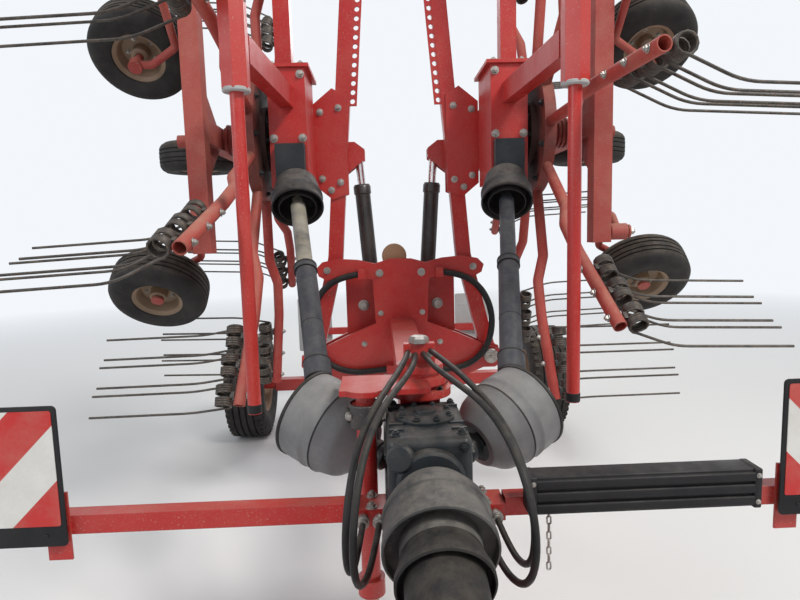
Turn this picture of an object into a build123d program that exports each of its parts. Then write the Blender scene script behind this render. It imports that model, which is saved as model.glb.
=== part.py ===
import os
from math import cos, radians, sin, tan

from build123d import *

# Twin-rotor rotary rake, folded for transport, in millimetres.
# X is to the right seen from the hitch, Y points to the rear, Z is up from the ground.

# rotors
rotor_y = 160
rotor_z = 2040
arm_count = 9
arm_reach = 1280
arm_tube = 48
arm_bore = 20
tine_reach = 590
tine_wire = 10
coil_radius = 36
coil_wall = 12
tine_pairs = 3
tine_inner = 960
tine_pitch = 125
finger_gap = 56
knee_length = 175
knee_slope = 26
knee_bend = 80
phases = {"left": 22, "right": 38}
hub_radius = 290
hub_in = 612
hub_out = 708
axle_radius = 42

# rotor wheels and chassis
rotor_tyre_radius = 220
rotor_tyre_width = 170
contact_x = 1365
chassis_x = 865
chassis_box = 80
chassis_y = rotor_y - 330
castor_low_z = rotor_z - 480
castor_high_z = rotor_z + 600
castor_trail = 300
castor_lean = 45
rear_wheel_y = rotor_y + 660

# lift arms and cylinders
fold_x = 480
fold_z = 900
fold_pin_radius = 30
arm_y = rotor_y + 300
arm_box = 78
arm_points = [(fold_x, fold_z), (345, 1450), (300, 2000), (215, 3000)]
head_x = 420
head_depth = 330
head_low = 1800
head_high = 2330
cylinder_foot = (130, 950)
cylinder_top = (206, 2000)
cylinder_y = rotor_y + 420
barrel_radius = 42
barrel_length = 900
rod_radius = 22
clevis_gap = 56
clevis_plate = 12

# drive line
bell_x = 300
bell_y = -970
bell_z = 1000
bell_axis = Vector(0.80, 0.50, 0.33).normalized()
bell_radius = 143
bell_wall = 5
bell_behind = 170
bell_ahead = 70
cone_x = 460
cone_y = rotor_y - 300
cone_z = 1740
cone_radius = 112
shaft_radius = 40
inner_radius = 32
shaft_wall = 5
outer_length = 700
pto_z = 990
input_length = 1164.7
input_tilt = 16
input_bore = 17.5
gearbox_front = -1420
gearbox_back = -1010
input_way = Vector(0, -cos(radians(input_tilt)), -sin(radians(input_tilt)))
input_root = Vector(0, gearbox_front - 40, pto_z)

# main frame
beam_half = 60
drawbar_z = 1060
drawbar_front = -1060
nose_top = 880
centre_front = 430
centre_back = 780
ear_thickness = 25

# transport wheels
axle_y = 1880
tyre_radius = 400
tyre_width = 290
tyre_shoulder = 45
track_half = 1150
rim_radius = 200
stub_radius = 35

# hitch, jack and signs
yaw_y = -1545
yaw_radius = 45
yaw_low = 690
yaw_high = 780
yoke_y = -1770
yoke_z = 640
pin_radius = 14
pin_length = 85
pin_span = 740
jack_x = -160
jack_y = -1185
jack_radius = 27
jack_leg_radius = 20
jack_overlap = 180
jack_top = 1150
jack_bottom = 560
foot_radius = 90
foot_thickness = 12
sign_y = -1300
sign_z = 870
sign_beam = 50
sign_inner = 918
board_size = 423
board_height = 365
board_thickness = 18

# guard bars
guard_x = 555
guard_y = rotor_y - 940
guard_radius = 23
guard_low = 980
guard_high = 3230
sleeve_low = 2060
sleeve_high = 2340
sleeve_size = 96
column_x = 530

# running gaps
pin_gap = 0.3
seat_gap = 0.3
rest_gap = 8

sides = {"left": -1, "right": 1}


def rod(start, end, radius, bore=0):
    """A round bar or tube from one point to another."""
    with BuildSketch(Plane(origin=start, z_dir=end - start)) as section:
        Circle(radius)
        if bore:
            Circle(bore, mode=Mode.SUBTRACT)
    extrude(section.sketch, amount=(end - start).length)


def beam(start, end, across, width, depth, wall=0):
    """A box beam between two points, its width along the direction named by across."""
    with BuildSketch(Plane(origin=start, x_dir=across, z_dir=end - start)) as section:
        Rectangle(width, depth)
        if wall:
            Rectangle(width - 2 * wall, depth - 2 * wall, mode=Mode.SUBTRACT)
    extrude(section.sketch, amount=(end - start).length)


def block(low, high):
    """A box between two opposite corners."""
    size = Vector(high) - Vector(low)
    with Locations((Vector(low) + Vector(high)) / 2):
        Box(abs(size.X), abs(size.Y), abs(size.Z))


def bent_bar(points, radius, bend):
    """A round bar along points, with one bend radius."""
    with BuildLine() as route:
        FilletPolyline(*points, radius=bend)
    with BuildSketch(Plane(origin=route.line @ 0, z_dir=route.line % 0)) as section:
        Circle(radius)
    sweep(section.sketch, path=route.line)


def plate(outline, y_front, y_back, side=1, holes=()):
    """A flat plate in the XZ plane; holes are x, z, radius."""
    with BuildSketch(Plane(origin=(0, y_back, 0), x_dir=(1, 0, 0), z_dir=(0, -1, 0))) as section:
        with BuildLine():
            Polyline([(side * x, z) for x, z in outline], close=True)
        make_face()
        for x, z, radius in holes:
            with Locations((side * x, z)):
                Circle(radius, mode=Mode.SUBTRACT)
    extrude(section.sketch, amount=y_back - y_front)


def keep(part, name):
    """Label a finished piece and write its file."""
    part.label = name
    export_step(part, f"parts/{name}.step")


os.makedirs("parts", exist_ok=True)

# main frame: front bearing, drawbar, centre frame, rear beam and axle
axle_z = tyre_radius
arm_half = arm_box / 2
ear_gap = arm_half + 6
hose_plane = 362
with BuildPart() as main_frame:
    beam(Vector(0, drawbar_front, drawbar_z), Vector(0, centre_front + 20, drawbar_z), (1, 0, 0), 120, 120)
    block((-beam_half, centre_front, 780), (beam_half, centre_back, 1260))
    beam(Vector(0, centre_back - 20, 860), Vector(0, axle_y, 560), (1, 0, 0), 120, 140)
    block((-track_half + 190, axle_y - 45, axle_z - 45), (track_half - 190, axle_y + 45, axle_z + 45))
    block((-90, axle_y - 60, axle_z), (90, axle_y + 60, 600))
    for side in sides.values():
        rod(
            Vector(side * (track_half - 195), axle_y, axle_z),
            Vector(side * (track_half + 60), axle_y, axle_z),
            stub_radius,
        )
    # front and rear centre plates with their horns, and the ears that hold the fold pins
    horned_edge = [
        (0, 1180), (0, 1442), (60, 1440), (135, 1418), (225, 1440), (330, 1448), (415, 1432), (448, 1398),
        (436, 1358), (395, 1335), (350, 1340), (290, 1356), (215, 1350), (150, 1330), (140, 1095),
    ]
    square_edge = [(0, 1180), (0, 1400), (180, 1400), (250, 1350), (300, 1330), (300, 1060)]
    wing_edge = [
        (300, 1030), (440, 965), (545, 930), (550, 870), (505, 835), (440, 835), (260, 760), (0, 740),
    ]
    for y, edge in ((arm_y - ear_gap - ear_thickness, horned_edge), (arm_y + ear_gap, square_edge)):
        for side in sides.values():
            plate(edge + wing_edge, y, y + ear_thickness, side)
    for side in sides.values():
        with Locations(Plane(origin=(side * fold_x, arm_y, fold_z), z_dir=(0, 1, 0))):
            Cylinder(fold_pin_radius, 2 * (ear_gap + ear_thickness + 12))
        block(
            (side * 60, arm_y - ear_gap - 5, 790),
            (side * 200, arm_y + ear_gap + 5, 850),
        )
    # foot brackets of the lift cylinders
    for side in sides.values():
        foot_x, foot_z = cylinder_foot
        for y in (cylinder_y - clevis_gap / 2 - clevis_plate, cylinder_y + clevis_gap / 2):
            plate(
                [(40, 840), (40, 990), (foot_x + 35, 990), (foot_x + 45, foot_z), (foot_x + 30, 880), (foot_x - 10, 840)],
                y, y + clevis_plate, side,
            )
        with Locations(Plane(origin=(side * foot_x, cylinder_y, foot_z), z_dir=(0, 1, 0))):
            Cylinder(18, clevis_gap + 2 * clevis_plate + 16)
    # mast that carries the rear warning boards
    beam(Vector(0, axle_y, 540), Vector(0, 2545, 700), (1, 0, 0), 60, 60)
    block((-760, 2530, 670), (760, 2570, 730))
    # nose under the gearbox, with the bearing of the yaw pin
    block((-95, gearbox_front + 40, 740), (95, drawbar_front + 40, nose_top))
    beam(Vector(0, drawbar_front + 30, 835), Vector(0, -560, drawbar_z - 30), (1, 0, 0), 90, 60)
    rod(Vector(0, yaw_y, yaw_low), Vector(0, yaw_y, yaw_high), yaw_radius + 22, yaw_radius + pin_gap)
    block((-60, yaw_y + yaw_radius + 10, yaw_low + 10), (60, gearbox_front + 60, yaw_high - 5))
    # bolted turret over the gearbox, with the arm that holds the jack
    block((-30, drawbar_front + 5, 870), (30, drawbar_front + 60, 1010))
    rod(Vector(0, drawbar_front, 1100), Vector(0, drawbar_front, 1200), 62)
    for z, radius in ((1110, 92), (1145, 80), (1180, 70)):
        rod(Vector(0, drawbar_front, z), Vector(0, drawbar_front, z + 22), radius)
    block((jack_x - 70, jack_y - 35, jack_top), (20, drawbar_front + 10, jack_top + 16))
    rod(Vector(jack_x, jack_y, jack_top), Vector(jack_x, jack_y, jack_top + 16), 60)
    # clamp where the hoses start, on the turret, and the blocks where the centre hoses end
    block((-46, drawbar_front - 15, 1195), (46, drawbar_front + 15, 1262))
    for side in sides.values():
        block((side * 185, hose_plane - 22, 1340), (side * 225, arm_y - ear_gap, 1390))
        block((side * 40, hose_plane - 22, 826), (side * 90, arm_y - ear_gap, 872))
    # cross bracket of the sign beams
    block((-200, sign_y - 30, 835), (-90, sign_y + 60, nose_top))
    block((90, sign_y - 30, 835), (200, sign_y + 60, nose_top))
keep(main_frame.part, "main_frame")

# drive line on the centre: gearbox, input shaft, guards
with BuildPart() as gearbox:
    block((-105, gearbox_front, nose_top + seat_gap), (105, gearbox_back - 85, 1095))
    fillet(gearbox.part.edges().filter_by(Axis.Y), 30)
    rod(input_root, Vector(0, gearbox_front, pto_z), 85)
    for side in sides.values():
        centre = Vector(side * bell_x, bell_y, bell_z)
        axis = Vector(side * bell_axis.X, bell_axis.Y, bell_axis.Z)
        rod(centre - axis * (bell_behind + 75), centre - axis * (bell_behind - 20), 38)
        rod(centre - axis * bell_behind, centre - axis * 45, 26)
keep(gearbox.part, "front_gearbox")

with BuildPart() as bells:
    for side in sides.values():
        centre = Vector(side * bell_x, bell_y, bell_z)
        axis = Vector(side * bell_axis.X, bell_axis.Y, bell_axis.Z)
        with BuildSketch(Plane(origin=centre, x_dir=axis.cross(Vector(0, 0, 1)), z_dir=axis.cross(Vector(0, 0, 1)).cross(axis))):
            with BuildLine():
                outer = [
                    (78, -bell_behind), (bell_radius - 22, -bell_behind + 45), (bell_radius - 6, -bell_behind + 110),
                    (bell_radius, -20), (bell_radius - 3, bell_ahead),
                ]
                inner = [(x - bell_wall, y) for x, y in reversed(outer)]
                Polyline(outer + inner, close=True)
            make_face()
        revolve(axis=Axis(centre, axis))
keep(bells.part, "bell_guards")

with BuildPart() as input_shaft:
    hub = input_root + input_way * (input_length - 150)
    collar = input_root + input_way * (input_length - 60)
    rod(input_root + input_way * 10, hub, 30)
    rod(hub, collar, 46, input_bore)
    rod(collar, input_root + input_way * input_length, 38, input_bore)
keep(input_shaft.part, "input_shaft")

with BuildPart() as guards:
    with BuildSketch(Plane(origin=input_root + input_way * 34, x_dir=(1, 0, 0), z_dir=Vector(1, 0, 0).cross(-input_way))):
        with BuildLine():
            outer = [
                (84, 0), (122, -60), (122, -250), (112, -262), (84, -265), (100, -330), (98, -520),
                (62, -560), (52, -600), (50, -960),
            ]
            Polyline(outer + [(x - bell_wall, y) for x, y in reversed(outer)], close=True)
        make_face()
    revolve(axis=Axis(input_root, input_way))
keep(guards.part, "input_guard")

# headstock that swings about the yaw pin, with the lower-link pins
with BuildPart() as headstock:
    rod(Vector(0, yaw_y, yoke_z), Vector(0, yaw_y, yaw_high + 20), yaw_radius)
    rod(Vector(0, yaw_y, yaw_high + rest_gap), Vector(0, yaw_y, yaw_high + 22), yaw_radius + 25)
    block((-70, yoke_y, yoke_z - 40), (70, yaw_y + 60, yaw_low - rest_gap))
    block((-pin_span / 2 + 10, yoke_y - 45, yoke_z - 45), (pin_span / 2 - 10, yoke_y + 45, yoke_z + 45))
    for side in sides.values():
        block((side * (pin_span / 2 - 30), yoke_y - 60, yoke_z - 60), (side * pin_span / 2, yoke_y + 60, yoke_z + 60))
        rod(
            Vector(side * pin_span / 2, yoke_y, yoke_z),
            Vector(side * (pin_span / 2 + pin_length), yoke_y, yoke_z),
            pin_radius,
        )
keep(headstock.part, "headstock")

# jack: outer tube on the turret arm, leg and foot inside it
with BuildPart() as jack:
    rod(Vector(jack_x, jack_y, jack_bottom), Vector(jack_x, jack_y, jack_top), jack_radius, jack_leg_radius + 2)
    rod(Vector(jack_x, jack_y, jack_top - 90), Vector(jack_x, jack_y, jack_top - 30), jack_radius + 14, jack_radius)
    rod(Vector(jack_x, jack_y, jack_bottom), Vector(jack_x, jack_y, jack_bottom + 50), jack_radius + 12, jack_radius)
keep(jack.part, "jack_tube")

with BuildPart() as jack_leg:
    rod(Vector(jack_x, jack_y, foot_thickness), Vector(jack_x, jack_y, jack_bottom + jack_overlap), jack_leg_radius)
    rod(Vector(jack_x, jack_y, 0), Vector(jack_x, jack_y, foot_thickness), foot_radius)
    rod(Vector(jack_x, jack_y, foot_thickness), Vector(jack_x, jack_y, foot_thickness + 40), 32)
keep(jack_leg.part, "jack_leg")

# front sign beams, boards and the ribbed box
half_beam = sign_beam / 2
with BuildPart() as sign_beams:
    for side in sides.values():
        beam(
            Vector(side * 200, sign_y, sign_z),
            Vector(side * (sign_inner + 60), sign_y, sign_z),
            (0, 0, 1), sign_beam, sign_beam, 4,
        )
        block((side * sign_inner, sign_y - half_beam - 6, sign_z - 90), (side * (sign_inner + 60), sign_y - half_beam, sign_z + 90))
keep(sign_beams.part, "sign_beams")

board_back = sign_y - half_beam - 6
with BuildPart() as boards:
    for side in sides.values():
        block(
            (side * sign_inner, board_back - board_thickness, sign_z - 45),
            (side * (sign_inner + board_size), board_back, sign_z - 45 + board_height),
        )
keep(boards.part, "front_boards")

with BuildPart() as rib_box:
    block((245, sign_y - half_beam - 75, 875), (835, sign_y - half_beam, 978))
    for z in (893, 921, 949):
        block((262, sign_y - half_beam - 75, z), (818, sign_y - half_beam - 65, z + 12))
    fillet(rib_box.part.edges().filter_by(Axis.X).sort_by(Axis.Y)[:2], 5)
keep(rib_box.part, "ribbed_box")

with BuildPart() as rear_boards:
    for side in sides.values():
        block((side * 560, 2570, 520), (side * 860, 2590, 1000))
keep(rear_boards.part, "rear_boards")


def ribbon(points, width):
    """The outline of a strip of even width along XZ points."""
    left, right = [], []
    for i, point in enumerate(points):
        before = Vector(*points[max(i - 1, 0)])
        after = Vector(*points[min(i + 1, len(points) - 1)])
        way = (after - before).normalized()
        off = Vector(-way.Y, way.X) * width / 2
        left.append((point[0] + off.X, point[1] + off.Y))
        right.append((point[0] - off.X, point[1] - off.Y))
    return left + right[::-1]


# lift arms, each a bent box beam from its fold pin to above the rotor head
arm_front = arm_y - arm_half
arm_back = arm_y + arm_half
for label, side in sides.items():
    with BuildPart() as arm:
        plate(ribbon(arm_points, arm_box), arm_front, arm_back, side)
        with Locations(Plane(origin=(side * fold_x, arm_y, fold_z), z_dir=(0, 1, 0))):
            Cylinder(62, arm_box)
            Cylinder(fold_pin_radius + pin_gap, arm_box, mode=Mode.SUBTRACT)
        # cheek plates around the link to the rotor head
        for y in (arm_front - 12, arm_back):
            plate(
                [(262, 1790), (262, 2290), (330, 2330), (430, 2250), (430, 1830), (345, 1760)],
                y, y + 12, side,
            )
        # clevis of the lift cylinder
        top_x, top_z = cylinder_top
        block((side * 262, arm_back + 12, top_z - 75), (side * 335, cylinder_y + clevis_gap / 2 + clevis_plate, top_z + 75))
        for y in (cylinder_y - clevis_gap / 2 - clevis_plate, cylinder_y + clevis_gap / 2):
            plate(
                [(top_x - 34, top_z - 20), (top_x - 34, top_z + 34), (top_x + 20, top_z + 75), (300, top_z + 75),
                 (300, top_z - 110), (290, top_z - 110)],
                y, y + clevis_plate, side,
            )
    keep(arm.part, f"lift_arm_{label}")

    with BuildPart() as head:
        head_front = rotor_y - head_depth / 2
        head_back = rotor_y + head_depth / 2
        block((side * head_x, head_front, head_low), (side * (head_x + 170), head_back, head_high))
        block((side * (head_x - 20), head_front - 14, head_high), (side * (head_x + 178), head_back + 14, head_high + 16))
        block((side * (head_x + 10), head_back, 1900), (side * (head_x + 150), arm_back + 12, 2200))
        block((side * 352, arm_front, 1900), (side * (head_x + 30), arm_back, 2200))
        # column and brace that carry the guard bar
        block((side * (column_x - 38), rotor_y - 38, head_high), (side * (column_x + 38), rotor_y + 38, guard_high))
        beam(
            Vector(side * 505, head_front + 10, 2200),
            Vector(side * (guard_x - 10), guard_y + sleeve_size / 2 + 3, 2200),
            (0, 0, 1), 90, 60,
        )
    keep(head.part, f"rotor_head_{label}")

    with BuildPart() as guard:
        bent_bar(
            [Vector(side * guard_x, guard_y, guard_low), Vector(side * guard_x, guard_y, guard_high - 40),
             Vector(side * column_x, rotor_y - 42, guard_high - 40)],
            guard_radius, 90,
        )
        with BuildSketch(Plane(origin=(side * guard_x, guard_y, sleeve_low))):
            RegularPolygon(sleeve_size / 2, 6, rotation=30)
        extrude(amount=sleeve_high - sleeve_low)
    keep(guard.part, f"guard_bar_{label}")

    # lift cylinder: barrel on the frame, rod with the upper eye and its pin
    foot = Vector(side * cylinder_foot[0], cylinder_y, cylinder_foot[1])
    top = Vector(side * cylinder_top[0], cylinder_y, cylinder_top[1])
    along = (top - foot).normalized()
    with BuildPart() as barrel:
        rod(foot + along * 60, foot + along * barrel_length, barrel_radius)
        with Locations(Plane(origin=foot, z_dir=(0, 1, 0))):
            Cylinder(40, clevis_gap - 4)
        beam(foot, foot + along * 70, (0, 1, 0), clevis_gap - 4, 60)
        with Locations(Plane(origin=foot, z_dir=(0, 1, 0))):
            Cylinder(18 + pin_gap, clevis_gap, mode=Mode.SUBTRACT)
        with BuildSketch(Plane(origin=foot + along * 90, z_dir=along)):
            Circle(rod_radius + pin_gap)
        extrude(amount=barrel_length, mode=Mode.SUBTRACT)
    keep(barrel.part, f"cylinder_barrel_{label}")
    with BuildPart() as piston:
        rod(foot + along * 110, top - along * 25, rod_radius)
        with Locations(Plane(origin=top, z_dir=(0, 1, 0))):
            Cylinder(32, clevis_gap - 12)
            Cylinder(16, clevis_gap - 6)
    keep(piston.part, f"cylinder_rod_{label}")

    # telescopic drive shaft from the bell to the cone on the rotor head
    bell = Vector(side * bell_x, bell_y, bell_z)
    cone = Vector(side * cone_x, cone_y, cone_z)
    reach = cone - bell
    span = reach.length
    along = reach.normalized()
    with BuildPart() as outer_shaft:
        rod(bell + along * 25, bell + along * 75, 24)
        rod(bell + along * 60, bell + along * outer_length, shaft_radius)
        rod(bell + along * 165, bell + along * 235, shaft_radius + 7)
        rod(bell + along * (outer_length - 30), bell + along * outer_length, shaft_radius + 4)
        with BuildSketch(Plane(origin=bell + along * 100, z_dir=along)):
            Circle(inner_radius + pin_gap)
        extrude(amount=span, mode=Mode.SUBTRACT)
    keep(outer_shaft.part, f"shaft_outer_{label}")
    with BuildPart() as inner_shaft:
        rod(bell + along * (outer_length - 320), bell + along * (span - 50), inner_radius)
        rod(bell + along * (span - 55), bell + along * (span - 5), 22)
    keep(inner_shaft.part, f"shaft_inner_{label}")

    cone_axis = Vector(-side * 0.102, -0.686, -0.720).normalized()
    with BuildPart() as upper_cone:
        u = cone_axis.cross(Vector(1, 0, 0))
        with BuildSketch(Plane(origin=cone, x_dir=u, z_dir=u.cross(cone_axis))):
            with BuildLine():
                outer = [(66, -125), (88, -95), (cone_radius - 8, -10), (cone_radius, 0), (cone_radius - 4, 55)]
                Polyline(outer + [(x - bell_wall, y) for x, y in reversed(outer)], close=True)
            make_face()
        revolve(axis=Axis(cone, cone_axis))
        rod(cone - cone_axis * 100, cone - cone_axis * 135, 50)
        rod(cone - cone_axis * 45, cone - cone_axis * 105, 24)
        block(
            (side * (head_x + 10), head_front - 60, head_low - 4),
            (side * (head_x + 140), head_front - 4, head_low + 190),
        )
    keep(upper_cone.part, f"upper_cone_{label}")


# one arm and its double tines, pointing up; x is outward, z away from the rotor axis
arm_radius = arm_tube / 2
arm_route = [(660, 250), (672, 600), (640, 720), (648, 890), (692, arm_reach)]
tine_tilt = (692 - 648) / (arm_reach - 890)
with BuildPart() as arm_master:
    bent_bar([Vector(x, 0, z) for x, z in arm_route], arm_radius, 70)
    mouth = Vector(arm_route[-1][0], 0, arm_route[-1][1])
    way = Vector(tine_tilt, 0, 1).normalized()
    with BuildSketch(Plane(origin=mouth - way * 60, z_dir=way)):
        Circle(arm_bore)
    extrude(amount=80, mode=Mode.SUBTRACT)

with BuildPart() as tine_master:
    for pair in range(tine_pairs):
        middle = tine_inner + finger_gap / 2 + pair * tine_pitch
        tube_x = 648 + (middle - 890) * tine_tilt
        coil_x = tube_x + arm_radius + coil_radius + 8
        clip = finger_gap - 46
        for turn in (-1, 1):
            base = middle + turn * clip / 2
            tip = middle + turn * (clip / 2 + 46)
            rod(Vector(coil_x, 0, base), Vector(coil_x, 0, tip), coil_radius, coil_radius - coil_wall)
            z = tip - turn * coil_wall / 2
            root_y = coil_wall / 2 - coil_radius
            bend_x = coil_x + knee_length * cos(radians(knee_slope))
            bend_y = root_y - knee_length * sin(radians(knee_slope))
            bent_bar(
                [Vector(coil_x, root_y, z), Vector(bend_x, bend_y, z),
                 Vector(coil_x + tine_reach, bend_y - 22, z)],
                tine_wire / 2, knee_bend,
            )
        block(
            (tube_x + arm_radius + seat_gap + 0.7, -16, middle - clip / 2 - 2),
            (coil_x + coil_radius - coil_wall / 2, 16, middle + clip / 2 + 2),
        )

arm_step = 360 / arm_count
for label, side in sides.items():
    with BuildPart() as hub:
        with BuildSketch(Plane.YZ.offset(side * hub_in)):
            with Locations((rotor_y, rotor_z)):
                Circle(150)
        extrude(amount=side * (hub_out - hub_in))
        with BuildSketch(Plane.YZ.offset(side * 636)):
            with Locations((rotor_y, rotor_z)):
                Circle(hub_radius)
        extrude(amount=side * 52)
        for index in range(arm_count):
            turned = arm_master.part.rotate(Axis.X, 90 + phases[label] + index * arm_step)
            if side < 0:
                turned = turned.mirror(Plane.YZ)
            add(turned.moved(Location((0, rotor_y, rotor_z))))
        with BuildSketch(Plane.YZ.offset(side * (hub_in - 10))):
            with Locations((rotor_y, rotor_z)):
                Circle(axle_radius + pin_gap)
        extrude(amount=side * (hub_out - hub_in + 20), mode=Mode.SUBTRACT)
    keep(hub.part, f"rotor_{label}")

    with BuildPart() as tines:
        for index in range(arm_count):
            turned = tine_master.part.rotate(Axis.X, 90 + phases[label] + index * arm_step)
            if side < 0:
                turned = turned.mirror(Plane.YZ)
            add(turned.moved(Location((0, rotor_y, rotor_z))))
    keep(tines.part, f"tines_{label}")

# wheel chassis of each rotor, its castors and its three wheels
wheel_x = contact_x - rotor_tyre_radius
half_box = chassis_box / 2
castor_pin = 20
bar_side = 125
lean = radians(castor_lean)
trail_way = Vector(0, cos(lean), -sin(lean))
face_way = Vector(0, -sin(lean), -cos(lean))
wheel_bore = 16

with BuildPart() as wheel_master:
    half = rotor_tyre_width / 2
    rim = 108
    with BuildSketch(Plane.XZ):
        with BuildLine():
            Polyline(
                [(wheel_bore + pin_gap, -60), (38, -60), (38, -8), (rim - 12, -8), (rim - 12, -half + 12),
                 (rim + 8, -half + 8), (rim + 45, -half), (rotor_tyre_radius - 38, -half + 4),
                 (rotor_tyre_radius - 8, -half + 28), (rotor_tyre_radius, -20),
                 (rotor_tyre_radius, 20), (rotor_tyre_radius - 8, half - 28),
                 (rotor_tyre_radius - 38, half - 4), (rim + 45, half), (rim + 8, half - 8), (rim - 12, half - 12),
                 (rim - 12, 8), (38, 8), (38, 60), (wheel_bore + pin_gap, 60)],
                close=True,
            )
        make_face()
    revolve(axis=Axis.Z)

for label, side in sides.items():
    out = Vector(side, 0, 0)
    with BuildPart() as chassis:
        beam(
            Vector(side * chassis_x, chassis_y, castor_low_z - 45),
            Vector(side * chassis_x, chassis_y, castor_high_z + 45),
            (1, 0, 0), chassis_box, chassis_box,
        )
        block(
            (side * (chassis_x - 35), chassis_y + half_box - 5, rotor_z - 50),
            (side * (chassis_x + 35), rear_wheel_y + 45, rotor_z + 50),
        )
        for way in (-1, 1):
            with BuildSketch(Plane(origin=(side * chassis_x, 0, 0), x_dir=(0, 1, 0), z_dir=(1, 0, 0))):
                with BuildLine():
                    Polyline(
                        [(chassis_y + half_box - 3, rotor_z + way * 45), (chassis_y + half_box - 3, rotor_z + way * 260),
                         (chassis_y + 330, rotor_z + way * 45)],
                        close=True,
                    )
                make_face()
            extrude(amount=8, both=True)
        # axle from the rotor head, with its ribbed sleeve, and the adjusting screw outside
        rod(Vector(side * (head_x + 172), rotor_y, rotor_z), Vector(side * (chassis_x - 20), rotor_y, rotor_z), axle_radius)
        rod(Vector(side * 716, rotor_y, rotor_z), Vector(side * 826, rotor_y, rotor_z), 58)
        for rib in range(5):
            x = 724 + rib * 20
            rod(Vector(side * x, rotor_y, rotor_z), Vector(side * (x + 9), rotor_y, rotor_z), 72)
        rod(Vector(side * (chassis_x + 20), rotor_y, rotor_z), Vector(side * 1010, rotor_y, rotor_z), 20)
        rod(Vector(side * 1010, rotor_y, rotor_z), Vector(side * 1050, rotor_y, rotor_z), 30)
        # pins of the two castors
        for z in (castor_low_z, castor_high_z):
            rod(Vector(side * (chassis_x + half_box - 10), chassis_y, z), Vector(side * 990, chassis_y, z), castor_pin)
            rod(Vector(side * 990, chassis_y, z), Vector(side * 1000, chassis_y, z), 30)
        # bracket and axle of the rear wheel
        block(
            (side * (chassis_x - 35), rear_wheel_y - 40, rotor_z),
            (side * (chassis_x + 35), rear_wheel_y + 40, rotor_z + 125),
        )
        block(
            (side * (chassis_x - 35), rear_wheel_y - 35, rotor_z + 108),
            (side * (wheel_x + 30), rear_wheel_y + 35, rotor_z + 125),
        )
        rod(
            Vector(side * wheel_x, rear_wheel_y, rotor_z + 125),
            Vector(side * wheel_x, rear_wheel_y, rotor_z - 72),
            wheel_bore,
        )
        rod(
            Vector(side * wheel_x, rear_wheel_y, rotor_z - 62),
            Vector(side * wheel_x, rear_wheel_y, rotor_z - 74),
            28,
        )
    keep(chassis.part, f"wheel_chassis_{label}")

    with BuildPart() as rear_wheel:
        add(wheel_master.part.moved(Location((side * wheel_x, rear_wheel_y, rotor_z))))
    keep(rear_wheel.part, f"rotor_wheel_rear_{label}")

    for place, pin_z in (("low", castor_low_z), ("high", castor_high_z)):
        pin = Vector(0, chassis_y, pin_z)
        centre = pin + out * wheel_x + trail_way * castor_trail
        bar_way = face_way * (-1 if place == "low" else 1)
        with BuildPart() as castor:
            rod(pin + out * 911, pin + out * 984, 36)
            bent_bar(
                [pin + out * 950 + bar_way * 20, pin + out * 950 + bar_way * bar_side,
                 pin + out * 950 + bar_way * bar_side + trail_way * (castor_trail - 80),
                 pin + out * (wheel_x - 70) + bar_way * bar_side + trail_way * castor_trail,
                 centre + bar_way * bar_side],
                17, 36,
            )
            rod(centre + bar_way * (bar_side + 22), centre + bar_way * (bar_side - 20), 30)
            rod(centre + bar_way * bar_side, centre - bar_way * 74, wheel_bore)
            rod(centre - bar_way * 62, centre - bar_way * 74, 28)
            with BuildSketch(Plane(origin=pin + out * 905, z_dir=out)):
                Circle(castor_pin + pin_gap)
            extrude(amount=85, mode=Mode.SUBTRACT)
        keep(castor.part, f"castor_{place}_{label}")
        with BuildPart() as castor_wheel:
            add(wheel_master.part.moved(Location(Plane(origin=centre, x_dir=out, z_dir=face_way))))
        keep(castor_wheel.part, f"castor_wheel_{place}_{label}")

# transport wheels
for label, side in sides.items():
    hub_centre = Vector(side * track_half, axle_y, axle_z)
    half = tyre_width / 2
    with BuildPart() as tyre:
        with BuildSketch(Plane.XY):
            with BuildLine():
                Polyline(
                    [(rim_radius, -half + 40), (rim_radius + 60, -half + 4), (rim_radius + 110, -half),
                     (tyre_radius - tyre_shoulder, -half + 12), (tyre_radius - 10, -half + 45), (tyre_radius, -60),
                     (tyre_radius, 60), (tyre_radius - 10, half - 45), (tyre_radius - tyre_shoulder, half - 12),
                     (rim_radius + 110, half), (rim_radius + 60, half - 4), (rim_radius, half - 40)],
                    close=True,
                )
            make_face()
        revolve(axis=Axis.Y)
    placed = tyre.part.moved(Location(Plane(origin=hub_centre, x_dir=(0, 0, 1), z_dir=(0, 1, 0))))
    keep(placed, f"transport_tyre_{label}")
    with BuildPart() as rim_part:
        with BuildSketch(Plane.XY):
            with BuildLine():
                Polyline(
                    [(stub_radius + pin_gap, -75), (70, -75), (70, -22), (rim_radius - 30, -6), (rim_radius - 22, -60),
                     (rim_radius - 14, -half + 36), (rim_radius + 12, -half + 20), (rim_radius + 12, -half + 24),
                     (rim_radius - seat_gap, -half + 38), (rim_radius - seat_gap, half - 38),
                     (rim_radius + 12, half - 24), (rim_radius + 12, half - 20), (rim_radius - 14, half - 36),
                     (rim_radius - 22, 60), (rim_radius - 30, 6), (70, -8), (70, 52), (stub_radius + pin_gap, 52)],
                    close=True,
                )
            make_face()
        revolve(axis=Axis.Y)
    placed = rim_part.part.moved(Location(Plane(origin=hub_centre, x_dir=(0, 0, 1), z_dir=(0, 1, 0))))
    keep(placed, f"transport_rim_{label}")


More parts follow.
